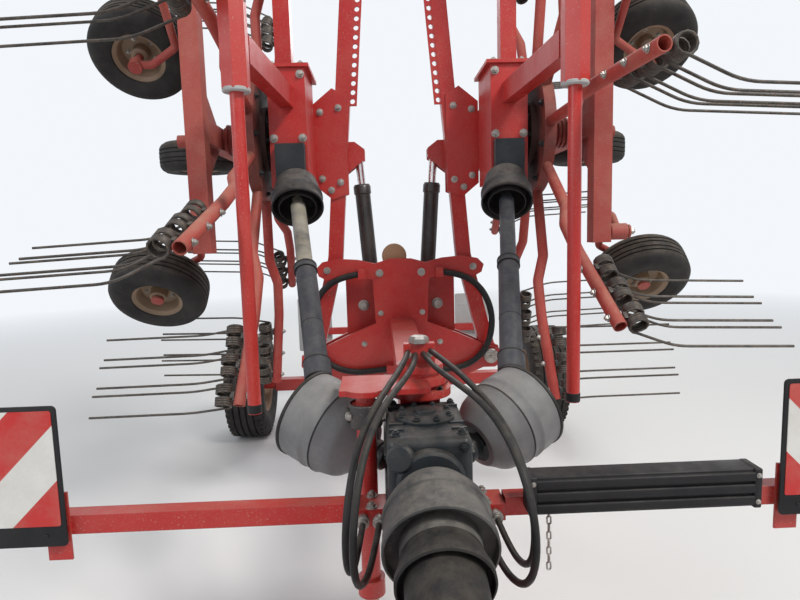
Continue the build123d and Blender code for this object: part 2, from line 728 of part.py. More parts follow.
def hose(points, radius, name):
    """A hose as straight runs joined by arcs as large as the runs allow."""
    stops = [Vector(*point) for point in points]
    bends = []
    for before, corner, after in zip(stops, stops[1:], stops[2:]):
        turn = (corner - before).get_angle(after - corner)
        bends.append(0.45 * min((corner - before).length, (after - corner).length) / tan(radians(turn / 2)))
    with BuildPart() as tube:
        with BuildLine() as route:
            FilletPolyline(*stops, radius=bends)
        with BuildSketch(Plane(origin=route.line @ 0, z_dir=route.line % 0)) as section:
            Circle(radius)
        sweep(section.sketch, path=route.line)
    print(name, "length", round(sum(edge.length for edge in route.line.edges())), "bend radii", [round(bend) for bend in bends])
    keep(tube.part, name)


# thick hoses that loop beside the centre frame, x is outward
loop_hose_radius = 17
loop_points = [
    (225, 362, 1365), (325, 361, 1352), (420, 358, 1285), (476, 356, 1180), (486, 356, 1060),
    (452, 357, 945), (372, 359, 868), (270, 361, 838), (178, 362, 840), (90, 362, 849),
]
for label, side in sides.items():
    hose([(side * x, y, z) for x, y, z in loop_points], loop_hose_radius, f"loop_hose_{label}")

# supply hoses from the turret clamp over the input guard and back to the parking sockets
supply_radius = 8
supply_points = {
    "left_inner": [
        (-12, -1075, 1230), (-20, -1190, 1232), (-44, -1300, 1226), (-74, -1410, 1222), (-106, -1515, 1214),
        (-140, -1608, 1178), (-164, -1682, 1110), (-176, -1718, 1022), (-178, -1706, 934), (-172, -1650, 866),
        (-158, -1565, 832), (-144, -1472, 836), (-130, -1370, 856),
    ],
    "left_outer": [
        (-34, -1075, 1238), (-46, -1185, 1240), (-70, -1290, 1230), (-98, -1392, 1218), (-132, -1490, 1196),
        (-166, -1574, 1146), (-186, -1632, 1070), (-196, -1656, 982), (-196, -1634, 900), (-190, -1572, 850),
        (-182, -1476, 838), (-172, -1370, 858),
    ],
    "right_inner": [
        (12, -1075, 1232), (22, -1195, 1230), (48, -1305, 1226), (80, -1418, 1220), (114, -1522, 1208),
        (146, -1618, 1168), (168, -1694, 1096), (178, -1728, 1008), (178, -1714, 922), (170, -1656, 856),
        (156, -1568, 828), (142, -1474, 836), (130, -1370, 858),
    ],
    "right_outer": [
        (34, -1075, 1240), (50, -1180, 1242), (78, -1286, 1234), (108, -1388, 1216), (140, -1482, 1188),
        (170, -1564, 1136), (190, -1618, 1060), (198, -1640, 974), (198, -1620, 892), (192, -1560, 844),
        (182, -1468, 834), (172, -1370, 856),
    ],
}
for label, points in supply_points.items():
    hose(points, supply_radius, f"supply_hose_{label}")

# parking sockets on the sign bracket, one for each supply hose
with BuildPart() as sockets:
    for points in supply_points.values():
        x, y, z = points[-1]
        rod(Vector(x, y, z), Vector(x, sign_y - 30, z), 13)
        rod(Vector(x, y + 12, z), Vector(x, y + 26, z), 17)
keep(sockets.part, "hose_sockets")
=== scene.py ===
import bpy
import bmesh
import math
from mathutils import Vector, Matrix


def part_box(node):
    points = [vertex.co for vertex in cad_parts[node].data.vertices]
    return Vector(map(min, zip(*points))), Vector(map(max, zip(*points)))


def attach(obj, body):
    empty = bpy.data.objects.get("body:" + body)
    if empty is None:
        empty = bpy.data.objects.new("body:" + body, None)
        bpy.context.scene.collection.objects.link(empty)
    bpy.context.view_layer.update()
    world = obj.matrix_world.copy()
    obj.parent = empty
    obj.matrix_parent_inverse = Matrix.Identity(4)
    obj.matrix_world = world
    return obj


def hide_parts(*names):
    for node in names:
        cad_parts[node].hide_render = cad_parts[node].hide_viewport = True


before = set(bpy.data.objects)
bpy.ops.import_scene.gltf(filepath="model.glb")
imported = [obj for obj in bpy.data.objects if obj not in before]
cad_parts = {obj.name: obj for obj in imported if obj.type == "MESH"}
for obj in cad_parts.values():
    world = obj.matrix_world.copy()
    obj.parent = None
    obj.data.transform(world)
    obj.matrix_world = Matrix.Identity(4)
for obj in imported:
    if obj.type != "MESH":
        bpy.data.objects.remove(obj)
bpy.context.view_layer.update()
sides = {"left": -1, "right": 1}
forward, rearward, upward = (0, -1, 0), (0, 1, 0), (0, 0, 1)


def addObject(name, data):
    made = bpy.data.objects.new(name, data)
    bpy.context.scene.collection.objects.link(made)
    return made


# the photograph was taken from just ahead of the input shaft, a little above the drawbar
cameraSetup = {"place": (-0.107, -2.81, 1.6), "pitchDown": 6.8, "turnRight": 1.8, "roll": -1.6, "lens": 27.0}
cameraData = bpy.data.cameras.new("photoCamera")
cameraData.lens = cameraSetup["lens"]
cameraData.sensor_width = 36
cameraData.clip_start = 0.01
cameraObject = addObject("photoCamera", cameraData)
cameraObject.location = cameraSetup["place"]
lookAt = Matrix.Rotation(math.radians(-cameraSetup["turnRight"]), 4, "Z")
lookAt = lookAt @ Matrix.Rotation(math.radians(90 - cameraSetup["pitchDown"]), 4, "X")
lookAt = lookAt @ Matrix.Rotation(math.radians(cameraSetup["roll"]), 4, "Z")
cameraObject.rotation_euler = lookAt.to_euler()
bpy.context.scene.camera = cameraObject
print("camera set")


# fills a node's inputs: an output of another node is linked, any other value is set
def fill(node, inputs):
    for label, value in inputs.items():
        if isinstance(value, bpy.types.NodeSocket):
            node.id_data.links.new(value, node.inputs[label])
        else:
            node.inputs[label].default_value = value


# a new node in the tree given, or in the tree of the socket given
def addNode(at, kind, inputs={}, **settings):
    node = at.id_data.nodes.new(kind)
    for label, value in settings.items():
        setattr(node, label, value)
    fill(node, inputs)
    return node


# a material with its shader and the place on the object, in the object's own coordinates
def startMaterial(name):
    material = bpy.data.materials.new(name)
    material.use_nodes = True
    shader = material.node_tree.nodes["Principled BSDF"]
    return material, shader, addNode(material.node_tree, "ShaderNodeTexCoord").outputs["Object"]


def noiseOn(place, scale, detail=4.0, roughness=0.6, stretch=(1, 1, 1), distortion=0.0):
    mapping = addNode(place, "ShaderNodeMapping", {"Scale": stretch, "Vector": place})
    texture = addNode(place, "ShaderNodeTexNoise", {
        "Scale": scale, "Detail": detail, "Roughness": roughness, "Distortion": distortion,
        "Vector": mapping.outputs["Vector"]})
    return texture.outputs["Fac"]


def spread(value, low, high, toLow=0.0, toHigh=1.0):
    ranged = addNode(value, "ShaderNodeMapRange", {
        "From Min": low, "From Max": high, "To Min": toLow, "To Max": toHigh, "Value": value})
    return ranged.outputs["Result"]


def times(first, second, operation="MULTIPLY"):
    return addNode(first, "ShaderNodeMath", {0: first, 1: second}, operation=operation).outputs[0]


# inputs named Factor, A and B exist once for each data type, so the colour ones are found by number
def blendColours(factor, first, second):
    first, second = ((*value, 1.0) if isinstance(value, tuple) else value for value in (first, second))
    return addNode(factor, "ShaderNodeMix", {0: factor, 6: first, 7: second}, data_type="RGBA").outputs[2]


def roundedNormal(place, radius):
    return addNode(place, "ShaderNodeBevel", {"Radius": radius}, samples=4).outputs["Normal"]


def plainNormal(place):
    return addNode(place, "ShaderNodeNewGeometry").outputs["Normal"]


def edgeWear(place, radius):
    turned = addNode(place, "ShaderNodeVectorMath", {0: roundedNormal(place, radius), 1: plainNormal(place)},
                     operation="DOT_PRODUCT")
    edge = spread(turned.outputs["Value"], 0.80, 0.99, 1.0, 0.0)
    return times(edge, spread(noiseOn(place, 55.0, 5.0, 0.7), 0.46, 0.62))


def upFacing(place, low=0.3, high=0.95):
    return spread(addNode(place, "ShaderNodeSeparateXYZ", {"Vector": plainNormal(place)}).outputs["Z"], low, high)


def bumpOn(shader, height, strength, distance, rounded=0.0):
    inputs = {"Strength": strength, "Distance": distance, "Height": height}
    if rounded:
        inputs["Normal"] = roundedNormal(height, rounded)
    fill(shader, {"Normal": addNode(height, "ShaderNodeBump", inputs).outputs["Normal"]})


# paint with sun-bleached patches, fine scratches, dust on top and chips along its edges
def makePaint(name, base, faded, dust, chip, shine, dustAmount, chipAmount):
    material, shader, place = startMaterial(name)
    bleached = spread(noiseOn(place, 2.3, 6.0, 0.62), 0.42, 0.70)
    colour = blendColours(bleached, base, faded)
    scratches = spread(noiseOn(place, 95.0, 3.0, 0.5, (1, 1, 0.06)), 0.66, 0.76)
    specks = spread(noiseOn(place, 210.0, 2.0, 0.5), 0.63, 0.72)
    colour = blendColours(times(scratches, 0.35), colour, faded)
    colour = blendColours(times(specks, 0.5), colour, dust)
    settled = times(upFacing(place), spread(noiseOn(place, 14.0, 6.0, 0.7), 0.30, 0.62))
    film = spread(noiseOn(place, 5.5, 7.0, 0.72), 0.45, 0.85)
    dirty = times(times(settled, 0.65), times(film, 0.45), "ADD")
    colour = blendColours(times(dirty, dustAmount), colour, dust)
    worn = times(edgeWear(place, 0.005), chipAmount)
    dull = times(spread(noiseOn(place, 9.0, 5.0), 0.3, 0.75, shine, shine + 0.22),
                 times(dirty, 0.4 * dustAmount), "ADD")
    fill(shader, {"Base Color": blendColours(worn, colour, chip), "Roughness": dull,
                        "Coat Weight": 0.25 if shine < 0.4 else 0.0, "Coat Roughness": 0.18})
    bumpOn(shader, noiseOn(place, 60.0, 4.0), 0.12, 0.002, 0.003)
    return material


# moulded plastic or rubber, greyed by the sun, with scuffs and pale dust on top; on the input guard's outer cups that
# pale top is partly painted light
def makePlastic(name, base, worn, dust, shine, wornAmount, dustAmount, grain, streak=(1, 1, 1), bump=0.15):
    material, shader, place = startMaterial(name)
    cloudy = spread(noiseOn(place, 6.0, 7.0, 0.65, streak), 0.38, 0.72)
    colour = blendColours(times(cloudy, wornAmount), base, worn)
    scuffs = spread(noiseOn(place, 46.0, 6.0, 0.72, streak, 0.6), 0.58, 0.66)
    colour = blendColours(times(scuffs, 0.55 * wornAmount), colour, worn)
    settled = times(upFacing(place, 0.0, 0.9), spread(noiseOn(place, 22.0, 6.0, 0.7), 0.35, 0.62))
    dull = spread(noiseOn(place, 16.0, 4.0), 0.3, 0.7, shine, min(shine + 0.25, 1.0))
    fill(shader, {"Base Color": blendColours(times(settled, dustAmount), colour, dust),
                        "Roughness": dull, "Specular IOR Level": 0.28})
    bumpOn(shader, noiseOn(place, grain, 3.0), bump, 0.0015, 0.002)
    return material


# bare or plated metal with rust freckles and darker patches at random
def makeMetal(name, base, dark, rust, shine, rustAmount, metallic):
    material, shader, place = startMaterial(name)
    tone = spread(noiseOn(place, 24.0, 6.0, 0.65), 0.35, 0.70)
    colour = blendColours(tone, base, dark)
    spots = spread(noiseOn(place, 70.0, 6.0, 0.75), 0.52, 0.66)
    fill(shader, {"Base Color": blendColours(times(spots, rustAmount), colour, rust),
                        "Metallic": spread(spots, 0.0, 1.0, metallic, metallic * (1 - 0.8 * rustAmount)),
                        "Roughness": spread(noiseOn(place, 33.0, 5.0), 0.3, 0.7, shine, shine + 0.25)})
    bumpOn(shader, noiseOn(place, 160.0, 5.0), 0.15, 0.001, 0.002)
    return material


# slanting red and white bands, mirrored about the machine's middle plane
def makeStripes():
    material, shader, place = startMaterial("stripes")
    parts = addNode(place, "ShaderNodeSeparateXYZ", {"Vector": place})
    outward = times(parts.outputs["X"], 0.0, "ABSOLUTE")
    slant = times(times(outward, parts.outputs["Z"], "ADD"), 3.536)
    share = times(times(slant, 0.18, "ADD"), 0.0, "FRACT")
    band = spread(share, 0.495, 0.505)
    colour = blendColours(band, (0.72, 0.71, 0.68), (0.52, 0.022, 0.020))
    grime = spread(noiseOn(place, 9.0, 7.0, 0.7), 0.42, 0.80)
    colour = blendColours(times(grime, 0.35), colour, (0.40, 0.34, 0.27))
    scratches = spread(noiseOn(place, 60.0, 4.0, 0.6, (0.1, 1, 1)), 0.68, 0.76)
    fill(shader, {
        "Base Color": blendColours(times(scratches, 0.3), colour, (0.30, 0.25, 0.22)),
        "Roughness": spread(noiseOn(place, 20.0, 4.0), 0.3, 0.7, 0.32, 0.55)})
    bumpOn(shader, noiseOn(place, 400.0, 2.0), 0.08, 0.0005)
    return material


# paint that turns to dark grease around the hub of each rotor
def addGrease(material, hub):
    nodes = material.node_tree.nodes
    shader = nodes["Principled BSDF"]
    place = next(item for item in nodes if item.type == "TEX_COORD").outputs["Object"]
    away = addNode(place, "ShaderNodeVectorMath", {0: place, 1: hub}, operation="SUBTRACT")
    flat = addNode(place, "ShaderNodeVectorMath", {0: away.outputs[0], 1: (0, 1, 1)}, operation="MULTIPLY")
    size = addNode(place, "ShaderNodeVectorMath", {0: flat.outputs[0]}, operation="LENGTH")
    ragged = times(size.outputs["Value"], times(noiseOn(place, 7.0, 6.0, 0.7), 0.30), "ADD")
    near = spread(ragged, 0.36, 0.56, 0.92, 0.0)
    paint = shader.inputs["Base Color"].links[0].from_socket
    fill(shader, {"Base Color": blendColours(near, paint, (0.022, 0.017, 0.014))})


# colours of paint, bleached paint, dust and chips, then roughness, dust and chips
dustTone = (0.42, 0.33, 0.24)
paints = {
    "redPaint": ((0.43, 0.009, 0.008), (0.48, 0.028, 0.022), dustTone, (0.19, 0.10, 0.075), 0.34, 0.30, 0.75),
    "guardPaint": ((0.45, 0.013, 0.010), (0.50, 0.040, 0.029), (0.46, 0.27, 0.20), (0.22, 0.12, 0.10), 0.36, 0.24, 0.6),
    "fadedPaint": ((0.31, 0.034, 0.027), (0.38, 0.090, 0.068), dustTone, (0.30, 0.17, 0.12), 0.55, 0.62, 0.9),
    "rotorPaint": ((0.35, 0.032, 0.025), (0.43, 0.085, 0.062), dustTone, (0.26, 0.15, 0.11), 0.52, 0.58, 0.9),
    "blackPaint": ((0.012, 0.012, 0.013), (0.030, 0.029, 0.029), (0.25, 0.20, 0.15), (0.20, 0.17, 0.14),
                   0.36, 0.45, 0.5),
    "rimPaint": ((0.23, 0.155, 0.100), (0.36, 0.275, 0.195), (0.34, 0.24, 0.15), (0.16, 0.065, 0.030), 0.55, 0.8, 1.0),
    "rustyDisc": ((0.30, 0.16, 0.09), (0.38, 0.24, 0.14), dustTone, (0.20, 0.09, 0.05), 0.6, 0.6, 0.8),
}
# colours new, worn and dusty, then roughness, wear, dust and grain, and where it differs streak and bump
plastics = {
    "greyGuard": ((0.150, 0.153, 0.158), (0.250, 0.252, 0.252), (0.34, 0.31, 0.26), 0.46, 0.85, 0.30, 240.0),
    # coneGrey: a dark base with heavy dust on top, partly real dust and partly painted light, a paler top over a darker
    # underside of the input guard's outer cups
    "coneGrey": ((0.045, 0.045, 0.046), (0.17, 0.165, 0.158), (0.28, 0.25, 0.21), 0.48, 0.80, 0.45, 260.0),
    "coneBlack": ((0.011, 0.011, 0.012), (0.035, 0.032, 0.030), (0.20, 0.17, 0.13), 0.46, 0.65, 0.22, 260.0),
    "upperConeGrey": ((0.026, 0.026, 0.029), (0.085, 0.083, 0.083), (0.26, 0.23, 0.19), 0.48, 0.7, 0.35, 260.0),
    "boxPlastic": ((0.010, 0.010, 0.012), (0.022, 0.022, 0.023), (0.16, 0.14, 0.11), 0.42, 0.6, 0.16, 320.0),
    "gearIron": ((0.014, 0.019, 0.024), (0.045, 0.047, 0.048), (0.20, 0.17, 0.13), 0.34, 0.7, 0.28, 150.0,
                 (1, 1, 1), 0.4),
    "tyreRubber": ((0.016, 0.015, 0.015), (0.050, 0.045, 0.041), (0.22, 0.17, 0.12), 0.60, 0.7, 0.40, 180.0,
                   (1, 1, 1), 0.35),
    "shaftTube": ((0.030, 0.036, 0.047), (0.080, 0.085, 0.097), (0.30, 0.27, 0.22), 0.32, 0.7, 0.20, 260.0,
                  (1, 0.2, 0.2)),
    "wornTube": ((0.120, 0.125, 0.130), (0.46, 0.44, 0.38), (0.36, 0.29, 0.16), 0.34, 0.95, 0.5, 260.0,
                 (0.8, 1.6, 1.6)),
    "boardGrey": ((0.40, 0.41, 0.41), (0.50, 0.50, 0.49), (0.46, 0.41, 0.34), 0.55, 0.7, 0.4, 200.0),
    "hoseRubber": ((0.009, 0.009, 0.010), (0.024, 0.023, 0.022), (0.20, 0.17, 0.13), 0.40, 0.6, 0.22, 260.0),
}
# colours bright, dark and rusty, then roughness, rust and how metallic it is
metals = {
    "bareSteel": ((0.46, 0.44, 0.41), (0.26, 0.245, 0.23), (0.20, 0.085, 0.035), 0.34, 0.55, 0.9),
    "tineSteel": ((0.105, 0.092, 0.080), (0.040, 0.036, 0.033), (0.20, 0.11, 0.06), 0.42, 0.5, 0.5),
    "chromeRod": ((0.78, 0.78, 0.79), (0.62, 0.62, 0.62), (0.30, 0.20, 0.12), 0.12, 0.15, 1.0),
}
rotorSetup = {"centre": (0, 0.160, 2.040), "phase": {"left": 22, "right": 38}, "arms": 9}
finishes = {"stripes": makeStripes()}
for make, table in ((makePaint, paints), (makePlastic, plastics), (makeMetal, metals)):
    for name, values in table.items():
        finishes[name] = make(name, *values)
addGrease(finishes["rotorPaint"], rotorSetup["centre"])
print("materials made")


# the same place on the machine's left (-1) or right (1)
def mirrored(place, sign):
    return Vector((place[0] * sign, place[1], place[2]))


def sideSpan(sign, inner, outer):
    return sorted((sign * inner, sign * outer))


# cosines and sines around a circle, the first one set off by a share of a step
def around(count, shift=0.0):
    angles = [2 * math.pi * (index + shift) / count for index in range(count)]
    return [(math.cos(angle), math.sin(angle)) for angle in angles]


def framesAlong(direction):
    along = Vector(direction).normalized()
    across = along.cross(Vector(upward) if abs(along.z) < 0.9 else Vector(rearward)).normalized()
    return along, across, along.cross(across)


# rings of (radius, distance) in millimetres, turned about a line; the ends are covered, or joined where it is closed
def turnProfile(shape, profile, origin, direction, steps=48, finish=0, closed=False):
    along, across, upright = framesAlong(direction)
    rings = []
    for radius, distance in profile:
        middle = Vector(origin) + along * (distance / 1000)
        rings.append([shape.verts.new(middle + (across * x + upright * y) * (radius / 1000)) for x, y in around(steps)])
    pairs = list(zip(rings, rings[1:]))
    if closed:
        pairs.append((rings[-1], rings[0]))
    for first, second in pairs:
        for step in range(steps):
            after = (step + 1) % steps
            shape.faces.new((first[step], first[after], second[after], second[step])).material_index = finish
    if not closed:
        shape.faces.new(list(reversed(rings[0]))).material_index = finish
        shape.faces.new(rings[-1]).material_index = finish


# a new shape of one turned profile
def turnedShape(profile, origin, direction, steps, closed=True):
    shape = bmesh.new()
    turnProfile(shape, profile, origin, direction, steps, closed=closed)
    return shape


def addBox(shape, low, high, finish=0, placed=None):
    corners = [Vector((x, y, z)) for x in (low[0], high[0]) for y in (low[1], high[1]) for z in (low[2], high[2])]
    if placed is not None:
        corners = [placed @ corner for corner in corners]
    made = [shape.verts.new(corner) for corner in corners]
    for loop in ((0, 1, 3, 2), (4, 6, 7, 5), (0, 4, 5, 1), (2, 3, 7, 6), (0, 2, 6, 4), (1, 5, 7, 3)):
        shape.faces.new([made[index] for index in loop]).material_index = finish


# a plate that stands across the machine at y, given by its outline in x and z
def addPlate(shape, outline, y, thickness):
    back, front = ([shape.verts.new((x, y + offset, z)) for x, z in outline]
                   for offset in (thickness / 2, -thickness / 2))
    shape.faces.new(list(reversed(back)))
    shape.faces.new(front)
    for index in range(len(outline)):
        shape.faces.new((back[index - 1], back[index], front[index], front[index - 1]))


# the mesh that an object's modifiers give; the object itself goes
def bakeMesh(holder):
    graph = bpy.context.evaluated_depsgraph_get()
    mesh = bpy.data.meshes.new_from_object(holder.evaluated_get(graph), depsgraph=graph)
    holder.modifiers.clear()
    bpy.data.objects.remove(holder)
    return mesh


def endShape(shape, name, rounded=0.0, segments=2):
    bmesh.ops.recalc_face_normals(shape, faces=shape.faces)
    mesh = bpy.data.meshes.new(name)
    shape.to_mesh(mesh)
    shape.free()
    if rounded:
        holder = addObject(name + "Holder", mesh)
        bevel = holder.modifiers.new("round", "BEVEL")
        bevel.width = rounded
        bevel.segments = segments
        bevel.limit_method = "ANGLE"
        bevel.angle_limit = math.radians(40)
        mesh = bakeMesh(holder)
    return mesh


# a shape with its finish, or finishes in the order of their numbers; a grown mesh comes with its own
def toPiece(name, shape, body, finish, nodes=(), smoothUnder=35.0, rounded=0.0, segments=2):
    mesh = shape
    if finish:
        mesh = endShape(shape, name, rounded, segments)
        for label in (finish if isinstance(finish, tuple) else (finish,)):
            mesh.materials.append(finishes[label])
    for face in mesh.polygons:
        face.use_smooth = True
    mesh.set_sharp_from_angle(angle=math.radians(smoothUnder))
    piece = addObject(name, mesh)
    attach(piece, body)
    if nodes:
        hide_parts(*nodes)


# a geometry tree with its named inputs; it ends in realized instances and their material
def startTree(name, inputs):
    tree = bpy.data.node_groups.new(name, "GeometryNodeTree")
    tree.interface.new_socket("Geometry", in_out="INPUT", socket_type="NodeSocketGeometry")
    for label, kind, value in inputs:
        tree.interface.new_socket(label, in_out="INPUT", socket_type=kind).default_value = value
    tree.interface.new_socket("Material", in_out="INPUT", socket_type="NodeSocketMaterial")
    tree.interface.new_socket("Geometry", in_out="OUTPUT", socket_type="NodeSocketGeometry")
    return tree, tree.nodes.new("NodeGroupInput").outputs


def endTree(tree, given, geometry):
    realized = addNode(tree, "GeometryNodeRealizeInstances", {0: geometry})
    dressed = addNode(tree, "GeometryNodeSetMaterial", {"Geometry": realized.outputs[0], "Material": given["Material"]})
    addNode(tree, "NodeGroupOutput", {0: dressed.outputs[0]})
    return tree


def growMesh(name, seed, tree, finish, values):
    holder = addObject(name + "Holder", seed)
    modifier = holder.modifiers.new("grow", "NODES")
    modifier.node_group = tree
    values = {**values, "Material": finishes[finish]}
    for item in tree.interface.items_tree:
        if item.in_out == "INPUT" and item.name in values:
            modifier[item.identifier] = values[item.name]
    mesh = bakeMesh(holder)
    mesh.name = name
    return mesh


# points that carry the way they face, the way their side faces and a size
def seedPoints(name, spots):
    mesh = bpy.data.meshes.new(name)
    mesh.from_pydata([tuple(spot[0]) for spot in spots], [], [])
    for label, kind in (("facing", "FLOAT_VECTOR"), ("sideways", "FLOAT_VECTOR"), ("size", "FLOAT")):
        mesh.attributes.new(label, kind, "POINT")
    for index, spot in enumerate(spots):
        way = Vector(spot[1]).normalized()
        mesh.attributes["facing"].data[index].vector = way
        mesh.attributes["sideways"].data[index].vector = Vector(spot[3]) if len(spot) > 3 else framesAlong(way)[1]
        mesh.attributes["size"].data[index].value = spot[2]
    return mesh


def namedValue(tree, name, kind="FLOAT_VECTOR"):
    return addNode(tree, "GeometryNodeInputNamedAttribute", {"Name": name}, data_type=kind).outputs["Attribute"]


def placeOnPoints(tree, given, item):
    facing = addNode(tree, "FunctionNodeAlignRotationToVector", {"Vector": namedValue(tree, "facing")}, axis="Z")
    turned = addNode(tree, "FunctionNodeAlignRotationToVector", {
        "Rotation": facing.outputs[0], "Vector": namedValue(tree, "sideways")}, axis="X", pivot_axis="Z")
    placed = addNode(tree, "GeometryNodeInstanceOnPoints", {
        "Points": given["Geometry"], "Instance": item, "Rotation": turned.outputs[0],
        "Scale": namedValue(tree, "size", "FLOAT")})
    return placed.outputs[0]


def shapeCylinder(tree, vertices, radius, depth, lift):
    cylinder = addNode(tree, "GeometryNodeMeshCylinder", {"Vertices": vertices, "Radius": radius, "Depth": depth})
    moved = addNode(tree, "GeometryNodeTransform", {"Geometry": cylinder.outputs["Mesh"], "Translation": (0, 0, lift)})
    return moved.outputs[0]


# a bolt head on its washer; a size of 1 is a head of 24 mm across
def makeBoltTree():
    tree, given = startTree("boltTree", [
        ("Head Radius", "NodeSocketFloat", 0.0135), ("Washer Radius", "NodeSocketFloat", 0.019)])
    head = shapeCylinder(tree, 6, given["Head Radius"], 0.011, 0.0085)
    washer = shapeCylinder(tree, 16, given["Washer Radius"], 0.003, 0.0015)
    stud = shapeCylinder(tree, 10, 0.0075, 0.007, 0.0165)
    joined = tree.nodes.new("GeometryNodeJoinGeometry")
    for part in (head, washer, stud):
        tree.links.new(part, joined.inputs[0])
    return endTree(tree, given, placeOnPoints(tree, given, joined.outputs[0]))


boltTree = makeBoltTree()


def boltRow(name, spots, body, finish="bareSteel"):
    mesh = growMesh(name, seedPoints(name + "Seed", spots), boltTree, finish, {})
    toPiece(name, mesh, body, None, smoothUnder=30)


print("helpers ready")


# finishes of the CAD nodes that show as they are
finishOf = {
    "main_frame": "redPaint", "input_shaft": "bareSteel", "headstock": "redPaint", "jack_tube": "redPaint",
    "jack_leg": "bareSteel", "sign_beams": "redPaint", "hose_sockets": "bareSteel",
}
finishPerSide = {
    "lift_arm": "redPaint", "rotor_head": "redPaint", "guard_bar": "guardPaint", "cylinder_barrel": "blackPaint",
    "cylinder_rod": "chromeRod", "shaft_outer": "shaftTube", "shaft_inner": "shaftTube", "rotor": "rotorPaint",
    "wheel_chassis": "fadedPaint", "castor_low": "fadedPaint", "castor_high": "fadedPaint",
}
for stem, finish in finishPerSide.items():
    for side in sides:
        finishOf[f"{stem}_{side}"] = finish
finishOf["shaft_inner_left"] = "wornTube"
for name, finish in finishOf.items():
    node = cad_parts[name]
    node.data.materials.clear()
    node.data.materials.append(finishes[finish])
print("nodes dressed")


# hoses
loopRoute = [
    (0.225, 0.362, 1.365), (0.325, 0.361, 1.352), (0.420, 0.358, 1.285), (0.476, 0.356, 1.180), (0.486, 0.356, 1.060),
    (0.452, 0.357, 0.945), (0.372, 0.359, 0.868), (0.270, 0.361, 0.838), (0.178, 0.362, 0.840), (0.090, 0.362, 0.849),
]
supplyRoutes = {
    "left_inner": [
        (-0.012, -1.075, 1.230), (-0.020, -1.190, 1.232), (-0.044, -1.300, 1.226), (-0.074, -1.410, 1.222),
        (-0.106, -1.515, 1.214), (-0.140, -1.608, 1.178), (-0.164, -1.682, 1.110), (-0.176, -1.718, 1.022),
        (-0.178, -1.706, 0.934), (-0.172, -1.650, 0.866), (-0.158, -1.565, 0.832), (-0.144, -1.472, 0.836),
        (-0.130, -1.370, 0.856),
    ],
    "left_outer": [
        (-0.034, -1.075, 1.238), (-0.046, -1.185, 1.240), (-0.070, -1.290, 1.230), (-0.098, -1.392, 1.218),
        (-0.132, -1.490, 1.196), (-0.166, -1.574, 1.146), (-0.186, -1.632, 1.070), (-0.196, -1.656, 0.982),
        (-0.196, -1.634, 0.900), (-0.190, -1.572, 0.850), (-0.182, -1.476, 0.838), (-0.172, -1.370, 0.858),
    ],
    "right_inner": [
        (0.012, -1.075, 1.232), (0.022, -1.195, 1.230), (0.048, -1.305, 1.226), (0.080, -1.418, 1.220),
        (0.114, -1.522, 1.208), (0.146, -1.618, 1.168), (0.168, -1.694, 1.096), (0.178, -1.728, 1.008),
        (0.178, -1.714, 0.922), (0.170, -1.656, 0.856), (0.156, -1.568, 0.828), (0.142, -1.474, 0.836),
        (0.130, -1.370, 0.858),
    ],
    "right_outer": [
        (0.034, -1.075, 1.240), (0.050, -1.180, 1.242), (0.078, -1.286, 1.234), (0.108, -1.388, 1.216),
        (0.140, -1.482, 1.188), (0.170, -1.564, 1.136), (0.190, -1.618, 1.060), (0.198, -1.640, 0.974),
        (0.198, -1.620, 0.892), (0.192, -1.560, 0.844), (0.182, -1.468, 0.834), (0.172, -1.370, 0.856),
    ],
}


def layHose(name, route, radius, cadNode):
    curve = bpy.data.curves.new(name, "CURVE")
    curve.dimensions = "3D"
    curve.bevel_depth = radius
    curve.bevel_resolution = 4
    curve.use_fill_caps = True
    spline = curve.splines.new("NURBS")
    spline.points.add(len(route) - 1)
    for point, place in zip(spline.points, route):
        point.co = (*place, 1.0)
    spline.order_u = 3
    spline.use_endpoint_u = True
    spline.resolution_u = 8
    curve.materials.append(finishes["hoseRubber"])
    piece = addObject(name, curve)
    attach(piece, "frame")
    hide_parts(cadNode)


hoseSetup = {
    "loopRadius": 0.017, "supplyRadius": 0.008, "loopLength": 0.963,
    "supplyLengths": {"left_inner": 1.215, "left_outer": 1.084, "right_inner": 1.232, "right_outer": 1.059},
}
for side, sign in sides.items():
    route = [(sign * x, y, z) for x, y, z in loopRoute]
    layHose(f"loopHose_{side}", route, hoseSetup["loopRadius"], f"loop_hose_{side}")
for name, route in supplyRoutes.items():
    layHose(f"supplyHose_{name}", route, hoseSetup["supplyRadius"], f"supply_hose_{name}")
print("hoses laid")


# a profile that is the same on both sides of its middle
def bothSides(half):
    return half + [(radius, -distance) for radius, distance in reversed(half)]


# wheels of the rotors: ribbed tyre on a dished rim with a bored hub
wheelSetup = {
    "x": 1.145, "rear": (0.82, 2.04), "pinY": -0.17, "pinHeights": {"low": 1.56, "high": 2.64}, "trail": 0.3,
    "lean": 45, "bolts": 5, "boltCircle": 0.062, "boltOut": 0.0065, "boltSize": 0.62,
}
rotorTyreProfile = bothSides([
    (101.5, -60), (108, -66), (116, -78), (150, -85), (186, -83), (206, -70), (214, -58), (217, -52), (219, -40),
    (213, -38), (213, -34), (219.5, -32), (220, -18), (214, -16), (214, -12), (220, -10),
])
rotorRimProfile = [
    (96, -58), (112, -72), (117, -70), (108, -60), (101, -52), (101, 52), (108, 60), (117, 70), (112, 72), (96, 58),
    (88, 30), (84, 12), (60, 7), (38, 8), (38, 52), (30, 58), (17.5, 58), (17.5, -58), (30, -58), (38, -52),
    (38, -8), (60, -5), (84, -4), (88, -20),
]
lean = math.radians(wheelSetup["lean"])
faceWay = Vector((0, -math.sin(lean), -math.cos(lean)))
trailWay = Vector((0, math.cos(lean), -math.sin(lean)))


